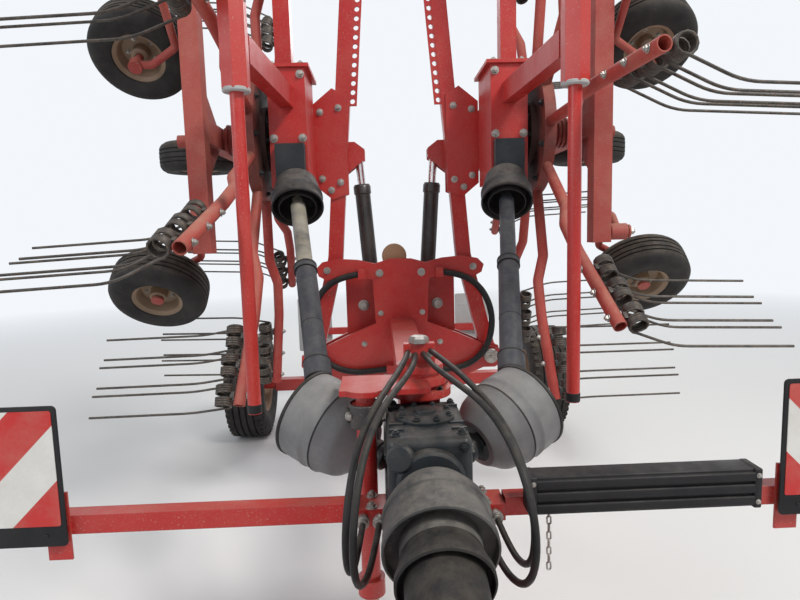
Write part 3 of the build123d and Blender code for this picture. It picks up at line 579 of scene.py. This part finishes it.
def rotorWheel(name, centre, way, body, node):
    shape = bmesh.new()
    turnProfile(shape, rotorTyreProfile, centre, way, 72, 0, closed=True)
    turnProfile(shape, rotorRimProfile, centre, way, 56, 1, closed=True)
    toPiece(name, shape, body, ("tyreRubber", "rimPaint"), (node,), 32)
    along, across, upright = framesAlong(way)
    spots = []
    for side in (-1, 1):
        for x, y in around(wheelSetup["bolts"]):
            out = (across * x + upright * y) * wheelSetup["boltCircle"] + along * side * wheelSetup["boltOut"]
            spots.append((centre + out, along * side, wheelSetup["boltSize"]))
    boltRow(name + "Bolts", spots, body)


for side, sign in sides.items():
    wheelX = wheelSetup["x"] * sign
    rotorWheel(f"rearRotorWheel_{side}", Vector((wheelX, *wheelSetup["rear"])), Vector(upward), f"rear_wheel_{side}",
               f"rotor_wheel_rear_{side}")
    for place, pinHeight in wheelSetup["pinHeights"].items():
        centre = Vector((wheelX, wheelSetup["pinY"], pinHeight)) + trailWay * wheelSetup["trail"]
        rotorWheel(f"castorWheel_{place}_{side}", centre, faceWay, f"castor_wheel_{place}_{side}",
                   f"castor_wheel_{place}_{side}")

# transport wheels: two lanes of lugs on the tyre, set half a step apart
transportSetup = {
    "centre": (1.15, 1.88, 0.40), "lugs": 44, "lanes": ((-0.101, 0.0), (0.101, 0.5)), "lugCircle": 0.384,
    "nuts": 6, "nutCircle": 0.102, "nutOut": 0.0025,
}
transportTyreProfile = bothSides([
    (201, -105), (208, -122), (262, -144), (318, -145), (360, -136), (378, -120), (390, -100), (396, -80), (384, -76),
    (384, -68), (397, -64), (399, -30), (386, -27), (386, -19), (400, -16),
])
transportRimProfile = [
    (186, -108), (204, -124), (212, -122), (199, -104), (199, 104), (212, 122), (204, 124), (186, 108), (178, 60),
    (170, 6), (70, -8), (70, 50), (58, 60), (37, 60), (37, -30), (60, -30), (150, -12), (168, -40),
]


def makeLugTree():
    tree, given = startTree("lugTree", [("Lug Size", "NodeSocketVector", (0.052, 0.030, 0.020))])
    block = addNode(tree, "GeometryNodeMeshCube", {"Size": given["Lug Size"]})
    return endTree(tree, given, placeOnPoints(tree, given, block.outputs["Mesh"]))


lugTree = makeLugTree()
for side, sign in sides.items():
    centre = mirrored(transportSetup["centre"], sign)
    way = Vector((sign, 0, 0))
    body = f"transport_wheel_{side}"
    toPiece(f"transportTyre_{side}", turnedShape(transportTyreProfile, centre, way, 96), body, "tyreRubber",
            (f"transport_tyre_{side}",), 32)
    lugs = []
    for lane, shift in transportSetup["lanes"]:
        for y, z in around(transportSetup["lugs"], shift):
            out = Vector((0, y, z))
            lugs.append((centre + out * transportSetup["lugCircle"] + way * lane, out, 1.0, way))
    lugMesh = growMesh(f"transportLugs_{side}", seedPoints("lugSeed", lugs), lugTree, "tyreRubber", {})
    toPiece(f"transportLugs_{side}", lugMesh, body, None, (), 30)
    toPiece(f"transportRim_{side}", turnedShape(transportRimProfile, centre, way, 72), body, "rimPaint",
            (f"transport_rim_{side}",), 32)
    nuts = [centre + Vector((0, y, z)) * transportSetup["nutCircle"] - way * transportSetup["nutOut"]
            for y, z in around(transportSetup["nuts"])]
    boltRow(f"transportNuts_{side}", [(nut, way, 1.0) for nut in nuts], body)
print("wheels made")


# spring wire drawn along seed lines, for the double tines and the chain
def makeWireTree():
    tree, given = startTree("wireTree", [
        ("Wire Radius", "NodeSocketFloat", 0.005), ("Sides", "NodeSocketInt", 6)])
    line = addNode(tree, "GeometryNodeMeshToCurve", {"Mesh": given["Geometry"]})
    section = addNode(tree, "GeometryNodeCurvePrimitiveCircle", {
        "Resolution": given["Sides"], "Radius": given["Wire Radius"]})
    drawn = addNode(tree, "GeometryNodeCurveToMesh", {
        "Curve": line.outputs["Curve"], "Profile Curve": section.outputs["Curve"], "Fill Caps": True})
    return endTree(tree, given, drawn.outputs["Mesh"])


wireTree = makeWireTree()


def wirePiece(name, lines, radius, body, finish, nodes=(), loops=False):
    points, edges = [], []
    for line in lines:
        first = len(points)
        points += [tuple(point) for point in line]
        edges += [(first + index, first + index + 1) for index in range(len(line) - 1)]
        if loops:
            edges.append((len(points) - 1, first))
    seed = bpy.data.meshes.new(name + "Seed")
    seed.from_pydata(points, edges, [])
    mesh = growMesh(name, seed, wireTree, finish, {"Wire Radius": radius, "Sides": 6})
    toPiece(name, mesh, body, None, nodes, 60)


# three double tines to each of a rotor's nine arms, wound from one wire with a coil either side of the clip
tineSetup = {
    "pairs": 3, "first": 0.988, "pitch": 0.125, "coil": 0.031, "turns": 4.25, "wire": 0.005, "coilStep": 0.0395,
    "coilGap": 0.0055, "coilOff": 0.068, "bend": 0.055, "kneeOut": 0.157, "kneeDrop": 0.077, "reach": 0.590,
    "tipDrop": 0.022,
}
armSetup = {"rootOut": 0.648, "rootAt": 0.890, "rise": 0.1128}
rotorCentre = Vector(rotorSetup["centre"])


def armFrame(side, index):
    turn = math.radians(90 + rotorSetup["phase"][side] + index * 360 / rotorSetup["arms"])
    return (Vector((sides[side], 0, 0)), Vector((0, math.cos(turn), math.sin(turn))),
            Vector((0, -math.sin(turn), math.cos(turn))))


# how far away from the axis a pair stands, and how far out the arm lies there
def pairPlace(pair):
    middle = tineSetup["first"] + pair * tineSetup["pitch"]
    return middle, armSetup["rootOut"] + (middle - armSetup["rootAt"]) * armSetup["rise"]


def tineLine(side, index, pair):
    out, tangent, radial = armFrame(side, index)
    middle, armOut = pairPlace(pair)
    coil, coilOut = tineSetup["coil"], armOut + tineSetup["coilOff"]
    root = Vector((coilOut, -coil))
    knee = Vector((coilOut + tineSetup["kneeOut"], -0.030 - tineSetup["kneeDrop"]))
    tip = Vector((coilOut + tineSetup["reach"], knee.y - tineSetup["tipDrop"]))
    before = knee + (root - knee).normalized() * tineSetup["bend"]
    after = knee + (tip - knee).normalized() * tineSetup["bend"]
    count = int(tineSetup["turns"] * 12)
    halves = []
    for turn in (-1, 1):
        spring = []
        for step in range(count + 1):
            angle = math.radians(180 + step * 360 * tineSetup["turns"] / count)
            lift = middle + turn * (tineSetup["coilGap"] + tineSetup["coilStep"] * step / count)
            spring.append(rotorCentre + out * (coilOut + coil * math.cos(angle)) + tangent * coil * math.sin(angle)
                          + radial * lift)
        lift = middle + turn * (tineSetup["coilGap"] + tineSetup["coilStep"])
        for t in (0, 0.2, 0.4, 0.6, 0.8, 1):
            place = before * (1 - t) ** 2 + knee * 2 * t * (1 - t) + after * t * t
            spring.append(rotorCentre + out * place.x + tangent * place.y + radial * lift)
        spring.append(rotorCentre + out * tip.x + tangent * tip.y + radial * lift)
        halves.append(spring)
    return list(reversed(halves[0])) + halves[1]


# each double tine is held by a clip with one bolt
clipSetup = {"low": (0.0235, -0.015, -0.014), "high": (0.0395, 0.015, 0.014), "boltSize": 0.75}
places = [(index, pair) for index in range(rotorSetup["arms"]) for pair in range(tineSetup["pairs"])]
for side in sides:
    body = f"rotor_{side}"
    wirePiece(f"doubleTines_{side}", [tineLine(side, *place) for place in places], tineSetup["wire"], body, "tineSteel",
              (f"tines_{side}",))
    clips, spots = bmesh.new(), []
    for index, pair in places:
        out, tangent, radial = armFrame(side, index)
        middle, armOut = pairPlace(pair)
        placed = Matrix((out, tangent, radial)).transposed().to_4x4()
        placed.translation = rotorCentre + out * armOut + radial * middle
        addBox(clips, clipSetup["low"], clipSetup["high"], 0, placed)
        spots.append((placed.translation - out * clipSetup["low"][0], -out, clipSetup["boltSize"]))
    toPiece(f"tineClips_{side}", clips, body, "blackPaint", rounded=0.002)
    boltRow(f"tineBolts_{side}", spots, body)
print("tines made")


# drive guards, turned about their own lines
bellSetup = {
    "centre": (0.300, -0.970, 1.000), "way": (0.80, 0.50, 0.33), "bands": ((-58.5, -51.5, 140.0), (60.0, 71.0, 142.8)),
}
bellProfile = [
    (60, -170), (78, -169), (84, -163), (100, -142), (116, -126), (121, -118), (124, -112), (130, -90), (136, -62),
    (139, -58), (139, -52), (137.5, -48), (140, -24), (142.5, -20), (142.5, -12), (140.5, -8), (141, 30), (139.5, 62),
    (142, 66), (142, 70), (136, 70), (134.5, 60), (136, 28), (135.5, -6), (131, -50), (125, -88), (116, -112),
    (98, -134), (76, -158), (60, -164),
]
bells = bmesh.new()
for sign in sides.values():
    centre, way = mirrored(bellSetup["centre"], sign), mirrored(bellSetup["way"], sign)
    turnProfile(bells, bellProfile, centre, way, 96, 0, closed=True)
    for low, high, radius in bellSetup["bands"]:
        turnProfile(bells, [(radius - 4, low), (radius, low + 1), (radius + 0.4, high - 1), (radius - 4, high)],
                    centre, way, 96, 1, closed=True)
toPiece("bellGuards", bells, "frame", ("greyGuard", "coneBlack"), ("bell_guards",), 38)

# nested cups over the input shaft; beyond darkFrom along it they are black, and the outer cups are paler on top, partly
# from dust and partly as painted light
inputSetup = {"tilt": 16, "root": (0, -1.460, 0.990), "darkFrom": 0.2022}
inputProfile = [
    (84, 34), (92, 38), (100, 52), (108, 66), (118, 88), (121.5, 96), (121.5, 112), (118, 116), (118, 150),
    (121.5, 154), (121.5, 178), (124, 182), (124, 200), (119, 202), (118, 176), (88, 170), (87, 214), (91, 236),
    (98, 262), (101, 268), (101, 284), (96, 287), (92, 270), (82, 262), (81, 400), (83, 404), (83, 540), (80, 556),
    (74, 570), (67, 586), (62, 596), (60, 606), (54, 622), (52, 634), (52, 860), (55, 864), (55, 884), (52, 888),
    (50, 994), (44, 994), (45, 884), (46, 636), (54, 596), (68, 566), (75, 548), (75, 262), (80, 240), (80, 166),
    (112, 160), (114, 150), (100, 70), (80, 42),
]
inputTilt = math.radians(inputSetup["tilt"])
inputWay = Vector((0, -math.cos(inputTilt), -math.sin(inputTilt)))
inputRoot = Vector(inputSetup["root"])
shape = turnedShape(inputProfile, inputRoot, inputWay, 96)
for face in shape.faces:
    if (face.calc_center_median() - inputRoot).dot(inputWay) > inputSetup["darkFrom"]:
        face.material_index = 1
toPiece("inputGuard", shape, "frame", ("coneGrey", "coneBlack"), ("input_guard",), 34)

# upper cones with the yoke inside of them, a collar behind and a dark ring and rim in front
coneSetup = {
    "centre": (0.460, -0.140, 1.740), "way": (-0.102, -0.686, -0.720), "yoke": [(24, -105), (24, -45)],
    "yokeCollar": [(46, -135), (50, -133), (50, -104), (46, -100)],
    "ring": [(104.5, -12), (104.5, -5), (90, 0), (82, 62), (78.5, 62), (86, -5)],
    "rim": [(106, 47), (112.4, 48), (112.4, 58), (106, 59)],
    "block": {"x": (0.430, 0.560), "y": (-0.065, -0.009), "z": (1.796, 1.990)},
}
upperProfile = [
    (62, -126), (66, -125), (72, -120), (84, -104), (90, -96), (92, -88), (98, -60), (104, -22), (105, -14),
    (109, -10), (112, -6), (112, 4), (109.5, 8), (109, 46), (111, 50), (111, 56), (105, 56), (104, 8), (103, -6),
    (98, -22), (92, -60), (84, -92), (64, -118),
]
for side, sign in sides.items():
    centre, way = mirrored(coneSetup["centre"], sign), mirrored(coneSetup["way"], sign)
    shape = bmesh.new()
    turnProfile(shape, upperProfile, centre, way, 80, 0, closed=True)
    turnProfile(shape, coneSetup["yoke"], centre, way, 24, 1)
    turnProfile(shape, coneSetup["yokeCollar"], centre, way, 40, 1)
    turnProfile(shape, coneSetup["ring"], centre, way, 64, 2, closed=True)
    turnProfile(shape, coneSetup["rim"], centre, way, 80, 2, closed=True)
    addBox(shape, *zip(sideSpan(sign, *coneSetup["block"]["x"]), coneSetup["block"]["y"], coneSetup["block"]["z"]), 1)
    toPiece(f"upperCone_{side}", shape, f"arm_{side}", ("upperConeGrey", "gearIron", "coneBlack"),
            (f"upper_cone_{side}",), 34)

# dark bands at the ends of the sliding tubes: distance from the bell, radius and width in millimetres
shaftBands = [(160, 48.2, 7), (230, 48.2, 7), (669, 45.2, 6), (693, 45.2, 9), (400, 40.8, 4)]
for side, sign in sides.items():
    bell, cone = mirrored(bellSetup["centre"], sign), mirrored(coneSetup["centre"], sign)
    shape = bmesh.new()
    for low, radius, width in shaftBands:
        high = low + width
        turnProfile(shape, [(radius - 6, low), (radius, low + 1), (radius, high - 1), (radius - 6, high)], bell,
                    cone - bell, closed=True)
    toPiece(f"shaftBands_{side}", shape, f"shaft_outer_{side}", "coneBlack", (), 32)
print("guards made")


# warning boards: striped sheet on a carrier, the slant mirrored from side to side
# carrier and sheet are given by the y of their middle and their thickness
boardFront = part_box("front_boards")[0][1]
boardSetup = {
    "inner": 0.918, "outer": 1.341, "low": 0.825, "high": 1.190, "border": 0.012, "foot": 0.055, "corner": 0.012,
    "sheetCorner": 0.006, "carrier": (boardFront + 0.0052, 0.0055), "sheet": (boardFront + 0.0014, 0.0022),
}
rearSetup = {
    "inner": 0.560, "outer": 0.860, "low": 0.520, "high": 1.000, "border": 0.012, "foot": 0.012, "corner": 0.015,
    "sheetCorner": 0.01, "carrier": (2.578, 0.014), "sheet": (2.5865, 0.004), "rails": (0.62, 0.90),
}


def roundedOutline(low, high, corner, steps=4):
    outline = []
    for x, y, start in ((high[0] - corner, high[1] - corner, 0), (low[0] + corner, high[1] - corner, 90),
                        (low[0] + corner, low[1] + corner, 180), (high[0] - corner, low[1] + corner, 270)):
        for step in range(steps + 1):
            angle = math.radians(start + 90 * step / steps)
            outline.append((x + corner * math.cos(angle), y + corner * math.sin(angle)))
    return outline


# one board: its carrier and the sheet on it
def addBoard(carriers, sheets, sign, board):
    left, right = sideSpan(sign, board["inner"], board["outer"])
    low, high, border = board["low"], board["high"], board["border"]
    addPlate(carriers, roundedOutline((left, low), (right, high), board["corner"]), *board["carrier"])
    addPlate(sheets, roundedOutline((left + border, low + board["foot"]), (right - border, high - border),
                                    board["sheetCorner"]), *board["sheet"])
    return left, right


carriers, sheets = bmesh.new(), bmesh.new()
for sign in sides.values():
    left, right = addBoard(carriers, sheets, sign, boardSetup)
    for x in (left + 0.05, right - 0.05):
        turnProfile(carriers, [(5, 0), (5, 2.5)], (x, boardFront + 0.0022, boardSetup["low"] + 0.028), forward, 16)
toPiece("boardCarriers", carriers, "frame", "boxPlastic", ("front_boards",), rounded=0.001)
toPiece("boardFaces", sheets, "frame", "stripes")
backs, sheets = bmesh.new(), bmesh.new()
for sign in sides.values():
    left, right = addBoard(backs, sheets, sign, rearSetup)
    for z in rearSetup["rails"]:
        addBox(backs, (left + 0.02, 2.5705, z - 0.012), (right - 0.02, 2.5715, z + 0.012))
toPiece("rearBoardBacks", backs, "frame", "boardGrey", ("rear_boards",), rounded=0.002)
toPiece("rearBoardFaces", sheets, "frame", "stripes")

# long black box with its three ribs and two end frames
ribbedSetup = {
    "low": (0.247, -1.394, 0.877), "high": (0.833, -1.328, 0.976), "ribs": (0.884, 0.915, 0.946), "ribHeight": 0.023,
    "ends": (0.245, 0.815), "endWidth": 0.020, "endFront": -1.402, "screwsX": (0.255, 0.825), "screwsZ": (0.892, 0.961),
}
endFront = ribbedSetup["endFront"]
shape = bmesh.new()
addBox(shape, ribbedSetup["low"], ribbedSetup["high"])
for z in ribbedSetup["ribs"]:
    addBox(shape, (0.262, -1.403, z), (0.818, -1.392, z + ribbedSetup["ribHeight"]))
for x in ribbedSetup["ends"]:
    addBox(shape, (x, endFront, 0.875), (x + ribbedSetup["endWidth"], -1.329, 0.978))
toPiece("ribbedBox", shape, "frame", "boxPlastic", ("ribbed_box",), rounded=0.004, segments=3)
screws = [((x, endFront, z), forward, 0.35) for x in ribbedSetup["screwsX"] for z in ribbedSetup["screwsZ"]]
boltRow("boxScrews", screws, "frame")
print("boards made")


# front gearbox: ribbed casting with covers, breather cap and the two outputs to the bells
gearSetup = {
    "low": (-0.105, -1.420, 0.8805), "high": (0.105, -1.095, 1.095), "cover": (0, -1.255, 1.092), "coverBolts": 8,
    "boltCircle": 0.066, "inputCover": (0, -1.420, 0.990), "breather": (-0.068, -1.420, 1.052),
    "topRibs": (-1.355, -1.310, -1.160), "sideRibs": (0.905, 1.040), "front": -1.420, "top": 1.095,
}
gearCover = [(78, 0), (78, 12), (66, 18), (30, 20), (28, 28), (10, 30)]
gearInputCover = [(70, 0), (85, 4), (85, 30), (78, 38), (60, 40)]
gearOutput = [(30, -246), (38, -240), (38, -218), (42, -214), (42, -196), (36, -190), (36, -168), (26, -160), (26, -45)]
gearBreather = [(24, 0), (30, 3), (34, 12), (34, 30), (28, 37), (10, 38)]
shape = bmesh.new()
addBox(shape, gearSetup["low"], gearSetup["high"])
body = endShape(shape, "gearBody", 0.022, 4)
shape = bmesh.new()
shape.from_mesh(body)
turnProfile(shape, gearInputCover, gearSetup["inputCover"], forward)
turnProfile(shape, gearCover, gearSetup["cover"], upward)
for sign in sides.values():
    for y in gearSetup["topRibs"]:
        addBox(shape, (sign * 0.060, y - 0.004, 1.085), (sign * 0.098, y + 0.004, 1.101))
    ribs = sideSpan(sign, 0.100, 0.112)
    for z in gearSetup["sideRibs"]:
        addBox(shape, (ribs[0], -1.400, z), (ribs[1], -1.110, z + 0.010))
    turnProfile(shape, gearOutput, mirrored(bellSetup["centre"], sign), mirrored(bellSetup["way"], sign), 36)
turnProfile(shape, gearBreather, gearSetup["breather"], (-0.25, -1, 0.25), 32)
toPiece("gearCasting", shape, "frame", "gearIron", ("front_gearbox",), 32)
spots = []
for x, y in around(gearSetup["coverBolts"], 0.5):
    out = Vector((x, y, 0)) * gearSetup["boltCircle"]
    spots.append((Vector((0, gearSetup["cover"][1], 1.1095)) + out, upward, 0.55))
for x, z in ((-0.082, 0.905), (0.082, 0.905), (0.082, 1.072)):
    spots.append(((x, gearSetup["front"], z), forward, 0.7))
spots += [((x, y, gearSetup["top"]), upward, 0.7) for x in (-0.082, 0.082) for y in (-1.385, -1.130)]
boltRow("gearBolts", spots, "frame", "gearIron")
print("gearbox made")


# bolts of the red frame; those on its front plate by x, z and size
plateFront = 0.390
plateBolts = [(0.112, 1.366, 1.1), (0.390, 1.388, 1.0), (0.112, 1.150, 0.8), (0.095, 0.800, 0.9), (0.235, 0.830, 0.9),
              (0.205, 0.985, 0.8)]
yawSetup = {"y": -1.060, "cap": 1.2625, "ring": 1.1325, "boltCircle": 0.079, "bolts": 6}
spots = []
for sign in sides.values():
    spots += [((sign * x, plateFront, z), forward, size) for x, z, size in plateBolts]
    for x, y in around(yawSetup["bolts"], 0.25):
        out = Vector((x, y, 0)) * yawSetup["boltCircle"]
        spots.append((Vector((0, yawSetup["y"], yawSetup["ring"])) + out, upward, 0.55))
    spots += [((sign * 0.150, y, 0.880), upward, 0.8) for y in (-1.318, -1.252)]
    spots += [((sign * x, -1.3285, z), rearward, 0.6) for x, z in ((0.943, 0.845), (0.963, 0.895))]
    spots.append(((sign * 0.030, -1.075, 1.2285), forward, 0.5))
boltRow("frameBolts", spots, "frame")

# caps over the yaw pivot, the lower pins of the arms and the rear pins, and the rusty disc behind the plate
pinSetup = {
    "yaw": (0, yawSetup["y"], yawSetup["cap"]), "front": (0.480, 0.3785, 0.900), "grease": (0.480, 0.3640, 0.900),
    "back": (0.205, 0.5055, 1.182), "disc": (-0.030, 0.4155, 1.455),
}
shape = bmesh.new()
turnProfile(shape, [(30, 0), (30, 14), (24, 20), (10, 21)], pinSetup["yaw"], upward, 6)
for sign in sides.values():
    turnProfile(shape, [(34, 0), (40, 2), (40, 10), (34, 14), (12, 15)], mirrored(pinSetup["front"], sign),
                forward, 36)
    turnProfile(shape, [(6, 0), (6, 8), (4, 12)], mirrored(pinSetup["grease"], sign), forward, 12)
    turnProfile(shape, [(30, 0), (30, 6), (22, 8), (22, 22), (19, 25), (8, 25)], mirrored(pinSetup["back"], sign),
                forward, 32)
toPiece("pinCaps", shape, "frame", "bareSteel", (), 30)
discProfile = [(60, 0), (66, 4), (66, 14), (60, 18), (20, 18.5)]
shape = turnedShape(discProfile, pinSetup["disc"], rearward, 40, False)
toPiece("plateDisc", shape, "frame", "rustyDisc", (), 30)

# ring round the jack's tube with a bolted ear on each side
clampSetup = {"foot": (-0.160, -1.185, 1.056), "ears": ((-0.214, -0.204), (-0.116, -0.106)), "boltsX": (-0.204, -0.116)}
shape = bmesh.new()
turnProfile(shape, [(41.5, 0), (47, 3), (47, 66), (41.5, 69)], clampSetup["foot"], upward, 32, closed=True)
for low, high in clampSetup["ears"]:
    addBox(shape, (low, -1.203, 1.070), (high, -1.167, 1.112))
toPiece("jackClamp", shape, "frame", "blackPaint", (), 35, rounded=0.003)
boltRow("jackBolts", [((x, -1.203, 1.091), forward, 0.7) for x in clampSetup["boltsX"]], "frame")
print("frame details made")


# hydraulic cylinders: gland and two ports, at millimetres along the barrel
cylinderSetup = {"foot": (0.130, 0.580, 0.950), "top": (0.206, 0.580, 2.000), "length": 900, "ports": (150, 815)}
reach = cylinderSetup["length"]
glandProfile = [(42.5, reach - 55), (47.5, reach - 50), (47.5, reach - 12), (43, reach - 4), (23.5, reach + 2),
                (23.5, reach - 4), (40, reach - 10)]
for side, sign in sides.items():
    foot, top = mirrored(cylinderSetup["foot"], sign), mirrored(cylinderSetup["top"], sign)
    along = (top - foot).normalized()
    shape = bmesh.new()
    turnProfile(shape, glandProfile, foot, along, 40, closed=True)
    for distance in cylinderSetup["ports"]:
        turnProfile(shape, [(16, 36), (16, 56), (10, 60)], foot + along * distance / 1000, rearward, 20)
    toPiece(f"cylinderGland_{side}", shape, f"cylinder_barrel_{side}", "blackPaint", (), 32)
print("cylinders dressed")


# guard tubes: pale rings at the ends of the sleeve and a black cap below
tubeSetup = {"x": 0.555, "y": -0.780, "rings": (2.052, 2.334), "cap": 0.9815}
ringProfile = [(23.5, 0), (43, 0), (46, 3), (46, 11), (43, 14), (23.5, 14)]
for side, sign in sides.items():
    x, y = tubeSetup["x"] * sign, tubeSetup["y"]
    shape = bmesh.new()
    for z in tubeSetup["rings"]:
        turnProfile(shape, ringProfile, (x, y, z), upward, 40, closed=True)
    toPiece(f"sleeveRings_{side}", shape, f"arm_{side}", "boardGrey", (), 32)
    shape = turnedShape([(18, -2), (24.5, 2), (24.5, 30), (23.2, 31)], (x, y, tubeSetup["cap"]), upward, 32, False)
    toPiece(f"guardCap_{side}", shape, f"arm_{side}", "boxPlastic", (), 32)

# bolts of the rotor heads and the plates that hold them
plateSpots = ((0.300, 1.850), (0.300, 2.230), (0.395, 1.870), (0.395, 2.210), (0.350, 1.810))
for side, sign in sides.items():
    spots = []
    for x in (sign * 0.440, sign * 0.570):
        spots += [((x, -0.005, z), forward, 1.0) for z in (2.020, 2.300)]
        spots += [((x, y, 2.346), upward, 1.0) for y in (0.030, 0.290)]
    for x, z in plateSpots:
        spots += [((sign * x, y, z), (0, way, 0), 0.95) for y, way in ((0.4090, -1), (0.5110, 1))]
    spots += [((sign * x, -0.065, 1.820), forward, 0.8) for x in (0.450, 0.540)]
    boltRow(f"headBolts_{side}", spots, f"arm_{side}")

# flat bars with a row of holes, inboard of each arm
barSetup = {
    "foot": (0.226, 0.427, 2.240), "head": (0.163, 0.427, 2.980), "cell": 0.046, "hole": 0.013, "thickness": 0.008,
}


def addHoledBar(shape, foot, head, across, cell, hole, thickness):
    foot, head, across = Vector(foot), Vector(head), Vector(across).normalized()
    along = (head - foot).normalized()
    normal = across.cross(along)
    count = int((head - foot).length / cell)
    corners = [(-1, -1), (0, -1), (1, -1), (1, 0), (1, 1), (0, 1), (-1, 1), (-1, 0)]
    for index in range(count):
        middle = foot + along * cell * (index + 0.5)
        layers = []
        for offset in (-thickness / 2, thickness / 2):
            outer, inner = [], []
            for a, b in corners:
                outer.append(shape.verts.new(middle + across * a * cell / 2 + along * b * cell / 2 + normal * offset))
                rim = Vector((a, b)).normalized() * hole
                inner.append(shape.verts.new(middle + across * rim.x + along * rim.y + normal * offset))
            layers.append((outer, inner))
        for corner in range(8):
            after = (corner + 1) % 8
            for outer, inner in layers:
                shape.faces.new((outer[corner], outer[after], inner[after], inner[corner]))
            (outerLow, innerLow), (outerHigh, innerHigh) = layers
            shape.faces.new((innerLow[corner], innerLow[after], innerHigh[after], innerHigh[corner]))
            onEnd = (corner in (0, 1) and index > 0) or (corner in (4, 5) and index < count - 1)
            if not onEnd:
                shape.faces.new((outerLow[corner], outerLow[after], outerHigh[after], outerHigh[corner]))
    bmesh.ops.remove_doubles(shape, verts=shape.verts, dist=0.0002)


for side, sign in sides.items():
    shape = bmesh.new()
    addHoledBar(shape, mirrored(barSetup["foot"], sign), mirrored(barSetup["head"], sign), (1, 0, 0), barSetup["cell"],
                barSetup["hole"], barSetup["thickness"])
    toPiece(f"holedBar_{side}", shape, f"arm_{side}", "redPaint", (), 30)
print("arms and heads dressed")


# two bolt rings of each rotor hub and the bolts of the castor pivots
hubSetup = {"inner": (0.612, 0.125, 0.8), "outer": (0.636, 0.262, 0.9)}  # x, bolt circle and size
arms = rotorSetup["arms"]
for side, sign in sides.items():
    spots = []
    x, circle, size = hubSetup["inner"]
    for z, y in around(arms, 0.5):
        spots.append((rotorCentre + Vector((sign * x, circle * y, circle * z)), (-sign, 0, 0), size))
    x, circle, size = hubSetup["outer"]
    for z, y in around(arms, 0.5 + (90 + rotorSetup["phase"][side]) / (360 / arms)):
        spots.append((rotorCentre + Vector((sign * x, -circle * y, circle * z)), (-sign, 0, 0), size))
    boltRow(f"hubBolts_{side}", spots, f"rotor_{side}", "gearIron")
    spots = [((sign, wheelSetup["pinY"], z), (sign, 0, 0), 1.2) for z in wheelSetup["pinHeights"].values()]
    boltRow(f"pivotBolts_{side}", spots, f"arm_{side}")

# short chain that hangs from the sign beam beside the box
chainSetup = {"top": (0.305, -1.361, 0.8770), "links": 8, "length": 0.026, "width": 0.015, "wire": 0.0024}
halfWidth = chainSetup["width"] / 2 - chainSetup["wire"]
straight = (chainSetup["length"] - chainSetup["width"]) / 2
linkStep = chainSetup["length"] - 2.2 * chainSetup["wire"]
links = []
for index in range(chainSetup["links"]):
    middle = Vector(chainSetup["top"]) - Vector((0, 0, 0.010 + index * linkStep))
    across = Vector((1, 0, 0)) if index % 2 else Vector(rearward)
    links.append([middle + across * halfWidth * x + Vector((0, 0, halfWidth * y + (straight if y > 0 else -straight)))
                  for x, y in around(12)])
wirePiece("signChain", links, chainSetup["wire"], "frame", "bareSteel", loops=True)
print("small pieces made")


# floor that fades into the backdrop far out, world and lamps
stageSetup = {
    "floorHalf": 60.0, "floor": (0.80, 0.80, 0.79, 1), "backdrop": (0.90, 0.93, 0.97, 1), "fade": (4.5, 13.0),
    "light": (0.86, 0.90, 0.96, 1), "strength": 0.34,
}
floorMesh = bpy.data.meshes.new("floor")
half = stageSetup["floorHalf"]
floorMesh.from_pydata([(-half, -half, 0), (half, -half, 0), (half, half, 0), (-half, half, 0)], [], [(0, 1, 2, 3)])
floorObject = addObject("floor", floorMesh)
floorMaterial, floorShader, floorPlace = startMaterial("floorPale")
fill(floorShader, {"Base Color": stageSetup["floor"], "Roughness": 0.9})
farOut = addNode(floorPlace, "ShaderNodeVectorMath", {0: floorPlace}, operation="LENGTH").outputs["Value"]
horizon = addNode(floorPlace, "ShaderNodeEmission", {"Color": stageSetup["backdrop"]})
looks = addNode(floorPlace, "ShaderNodeLightPath").outputs["Is Camera Ray"]
fade = addNode(floorPlace, "ShaderNodeMixShader", {
    0: times(spread(farOut, *stageSetup["fade"]), looks), 1: floorShader.outputs[0], 2: horizon.outputs[0]})
fill(floorMaterial.node_tree.nodes["Material Output"], {"Surface": fade.outputs[0]})
floorMesh.materials.append(floorMaterial)

world = bpy.data.worlds.new("studio")
bpy.context.scene.world = world
world.use_nodes = True
background = world.node_tree.nodes["Background"]
fill(background, {"Color": stageSetup["light"], "Strength": stageSetup["strength"]})
shown = addNode(world.node_tree, "ShaderNodeBackground", {"Color": stageSetup["backdrop"], "Strength": 1.0})
paths = addNode(world.node_tree, "ShaderNodeLightPath").outputs
seen = times(paths["Is Camera Ray"], paths["Is Glossy Ray"], "MAXIMUM")
chooser = addNode(world.node_tree, "ShaderNodeMixShader", {0: seen, 1: background.outputs[0], 2: shown.outputs[0]})
fill(world.node_tree.nodes["World Output"], {"Surface": chooser.outputs[0]})

# place, aim, size, power and tone of each lamp
lamps = {
    "keyLamp": ((4.5, -5.0, 8.5), (0, 0, 1.2), 2.5, 690, (1.0, 0.97, 0.92)),
    "fillLamp": ((-6.5, -5.0, 5.0), (0, 0, 1.2), 5.0, 230, (0.93, 0.96, 1.0)),
    "backLamp": ((1.0, 8.0, 7.0), (0, 0, 1.5), 5.0, 290, (1.0, 1.0, 1.0)),
}
for name, (place, aim, size, power, tone) in lamps.items():
    lampData = bpy.data.lights.new(name, "AREA")
    lampData.shape = "DISK"
    lampData.size = size
    lampData.energy = power
    lampData.color = tone
    lamp = addObject(name, lampData)
    lamp.location = place
    lamp.rotation_euler = (Vector(aim) - Vector(place)).to_track_quat("-Z", "Y").to_euler()
bpy.context.scene.view_settings.view_transform = "Standard"
print("stage and lamps set")


bpy.context.view_layer.update()
